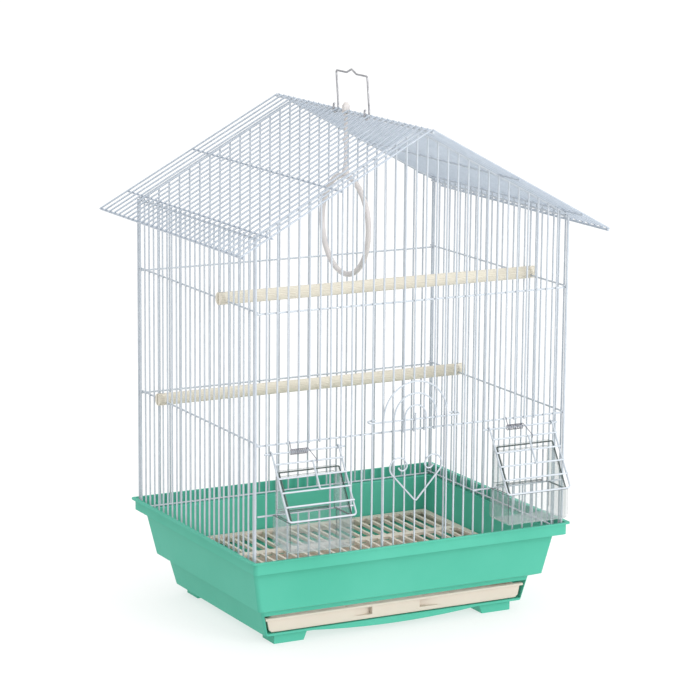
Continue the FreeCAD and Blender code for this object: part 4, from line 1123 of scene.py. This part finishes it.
@dataclass
class Handle:
    """The carrying handle: one wire that hooks round the ridge wire at both ends.

    Attributes:
        wire: Radius of the wire.
        span: Distance between the two legs.
        rise: Height of the grip above the ridge wire.
        crown: Height of the peak in the grip's middle.
        dip: Half the width of that peak.
        tail: Length of the wire's end past its hook.
        clearance: Play between the hook and the ridge wire.
        bend_radius: Bend of the grip's corners.
        shoulder: Height of the hooks above the ridge wire.
    """

    wire: float = 1.0 * MM
    span: float = 64.0 * MM
    rise: float = 39.0 * MM
    crown: float = 4.0 * MM
    dip: float = 10.0 * MM
    tail: float = 3.0 * MM
    clearance: float = 0.3 * MM
    bend_radius: float = 2.2 * MM
    shoulder: float = 6.5 * MM

    def build(self) -> None:
        """Makes the handle."""
        low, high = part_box("ridge_wire")
        ridge = middle("ridge_wire")
        loop = (high[0] - low[0]) / 2 + self.wire + self.clearance
        hooks = []
        for side in (-1, 1):
            leg = ridge + Axis.BACK.vector * (side * self.span / 2)
            turn = arc(leg, Axis.RIGHT.vector * loop, -Axis.UP.vector * loop, 0, 180)
            up = Axis.UP.vector * self.shoulder
            left = -Axis.RIGHT.vector * loop
            corner = leg + left + up
            curl = bend([corner - Axis.BACK.vector * self.tail, corner, turn[-1]], self.wire)
            hooks.append(curl[:-1] + turn[::-1] + [leg - left + up])
        half, top = self.span / 2, self.rise
        crown = [Vector((0, -half, top)), Vector((0, -self.dip, top)), Vector((0, 0, top + self.crown)),
                 Vector((0, self.dip, top)), Vector((0, half, top))]
        corners = [hooks[0][-1]] + [ridge + point for point in crown] + [hooks[1][-1]]
        shape = Shape()
        shape.wire(hooks[0][:-1] + bend(corners, self.bend_radius) + hooks[1][-2::-1], self.wire)
        shape.finish("handle_wire", DRAWN, "handle", "bare_wire", ("carry_handle",))


# Studio


@dataclass
class Studio:
    """Floor, light and camera."""

    azimuth: float = math.radians(-28.02)
    elevation: float = math.radians(11.50)
    roll: float = math.radians(0.50)
    place: tuple[float, float, float] = (-1.3355, -2.5061, 0.8356)
    focal_pixels: float = 2941.5
    frame_pixels: float = 700.0
    sensor: float = 36.0
    view_end: float = 100.0
    floor_size: float = 120.0
    horizon: float = 0.45
    zenith: float = 1.55
    lamp_place: tuple[float, float, float] = (1.1, -2.75, 1.0)
    lamp_aim: tuple[float, float, float] = (0, 0, 0.25)
    lamp_size: float = 1.6
    lamp_power: float = 48.0

    def build(self) -> None:
        """Makes the floor, the surround, the lamp and the camera."""
        self.floor()
        self.surround()
        self.lamp()
        self.camera()

    def floor(self) -> None:
        """A wide pale floor."""
        bm = bmesh.new()
        bmesh.ops.create_grid(bm, x_segments=1, y_segments=1, size=self.floor_size / 2)
        mesh = bpy.data.meshes.new("studio_floor")
        bm.to_mesh(mesh)
        bm.free()
        mesh.materials.append(PAINTED.material())
        floor = bpy.data.objects.new("studio_floor", mesh)
        bpy.context.scene.collection.objects.link(floor)

    def surround(self) -> None:
        """A surround that is brightest overhead."""
        world = bpy.data.worlds.new("studio")
        world.use_nodes = True
        tree = world.node_tree
        backdrop = tree.nodes["Background"]
        backdrop.inputs["Color"].default_value = (1.0, 1.0, 1.0, 1)
        split = tree.nodes.new("ShaderNodeSeparateXYZ")
        tree.links.new(tree.nodes.new("ShaderNodeTexCoord").outputs["Generated"], split.inputs["Vector"])
        rise = tree.nodes.new("ShaderNodeMapRange")
        rise.inputs["To Min"].default_value = self.horizon
        rise.inputs["To Max"].default_value = self.zenith
        tree.links.new(split.outputs["Z"], rise.inputs["Value"])
        tree.links.new(rise.outputs["Result"], backdrop.inputs["Strength"])
        bpy.context.scene.world = world

    def lamp(self) -> None:
        """A large soft lamp before the front."""
        lamp = bpy.data.lights.new("key_lamp", "AREA")
        lamp.size = self.lamp_size
        lamp.energy = self.lamp_power
        stand = bpy.data.objects.new("key_lamp", lamp)
        back = Vector(self.lamp_place) - Vector(self.lamp_aim)
        stand.location = self.lamp_place
        stand.rotation_euler = back.to_track_quat("Z", "Y").to_euler()
        bpy.context.scene.collection.objects.link(stand)

    def camera(self) -> None:
        """The camera at the photograph's place."""
        back = Vector((math.sin(self.azimuth) * math.cos(self.elevation),
                       -math.cos(self.azimuth) * math.cos(self.elevation), math.sin(self.elevation)))
        right = Axis.UP.vector.cross(back).normalized()
        up = back.cross(right)
        turn = Matrix.Rotation(self.roll, 3, "Z")
        stand = Matrix((right, up, back)).transposed() @ turn
        camera = bpy.data.cameras.new("camera")
        camera.sensor_width = self.sensor
        camera.sensor_fit = "HORIZONTAL"
        camera.lens = self.focal_pixels / self.frame_pixels * self.sensor
        camera.clip_end = self.view_end
        rig = bpy.data.objects.new("camera", camera)
        rig.matrix_world = Matrix.Translation(self.place) @ stand.to_4x4()
        bpy.context.scene.collection.objects.link(rig)
        bpy.context.scene.camera = rig


def main() -> None:
    """Builds the bird cage round the frame."""
    logging.basicConfig(level=logging.INFO, format="%(name)s: %(message)s")
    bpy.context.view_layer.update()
    bpy.context.scene.view_settings.view_transform = "Standard"
    Studio().build()
    Mouldings().build()
    for node in ("front_panel", "back_panel", "left_side_panel", "right_side_panel", "left_roof_panel",
                 "right_roof_panel", "ridge_wire", "left_hinge_wire", "right_hinge_wire",
                 "left_feeder_sill", "right_feeder_sill"):
        # The roof panels take the copy of the coating with painted shade.
        WeldedWires(node, ROOF_PAINTED_SHADE if "roof" in node else COATED).build()
    Door().build()
    for hand in Hand:
        Feeder(hand).build()
    for node in ("upper_perch", "lower_perch"):
        Perch(node).build()
    Swing().build()
    Handle().build()


if __name__ == "__main__":
    main()
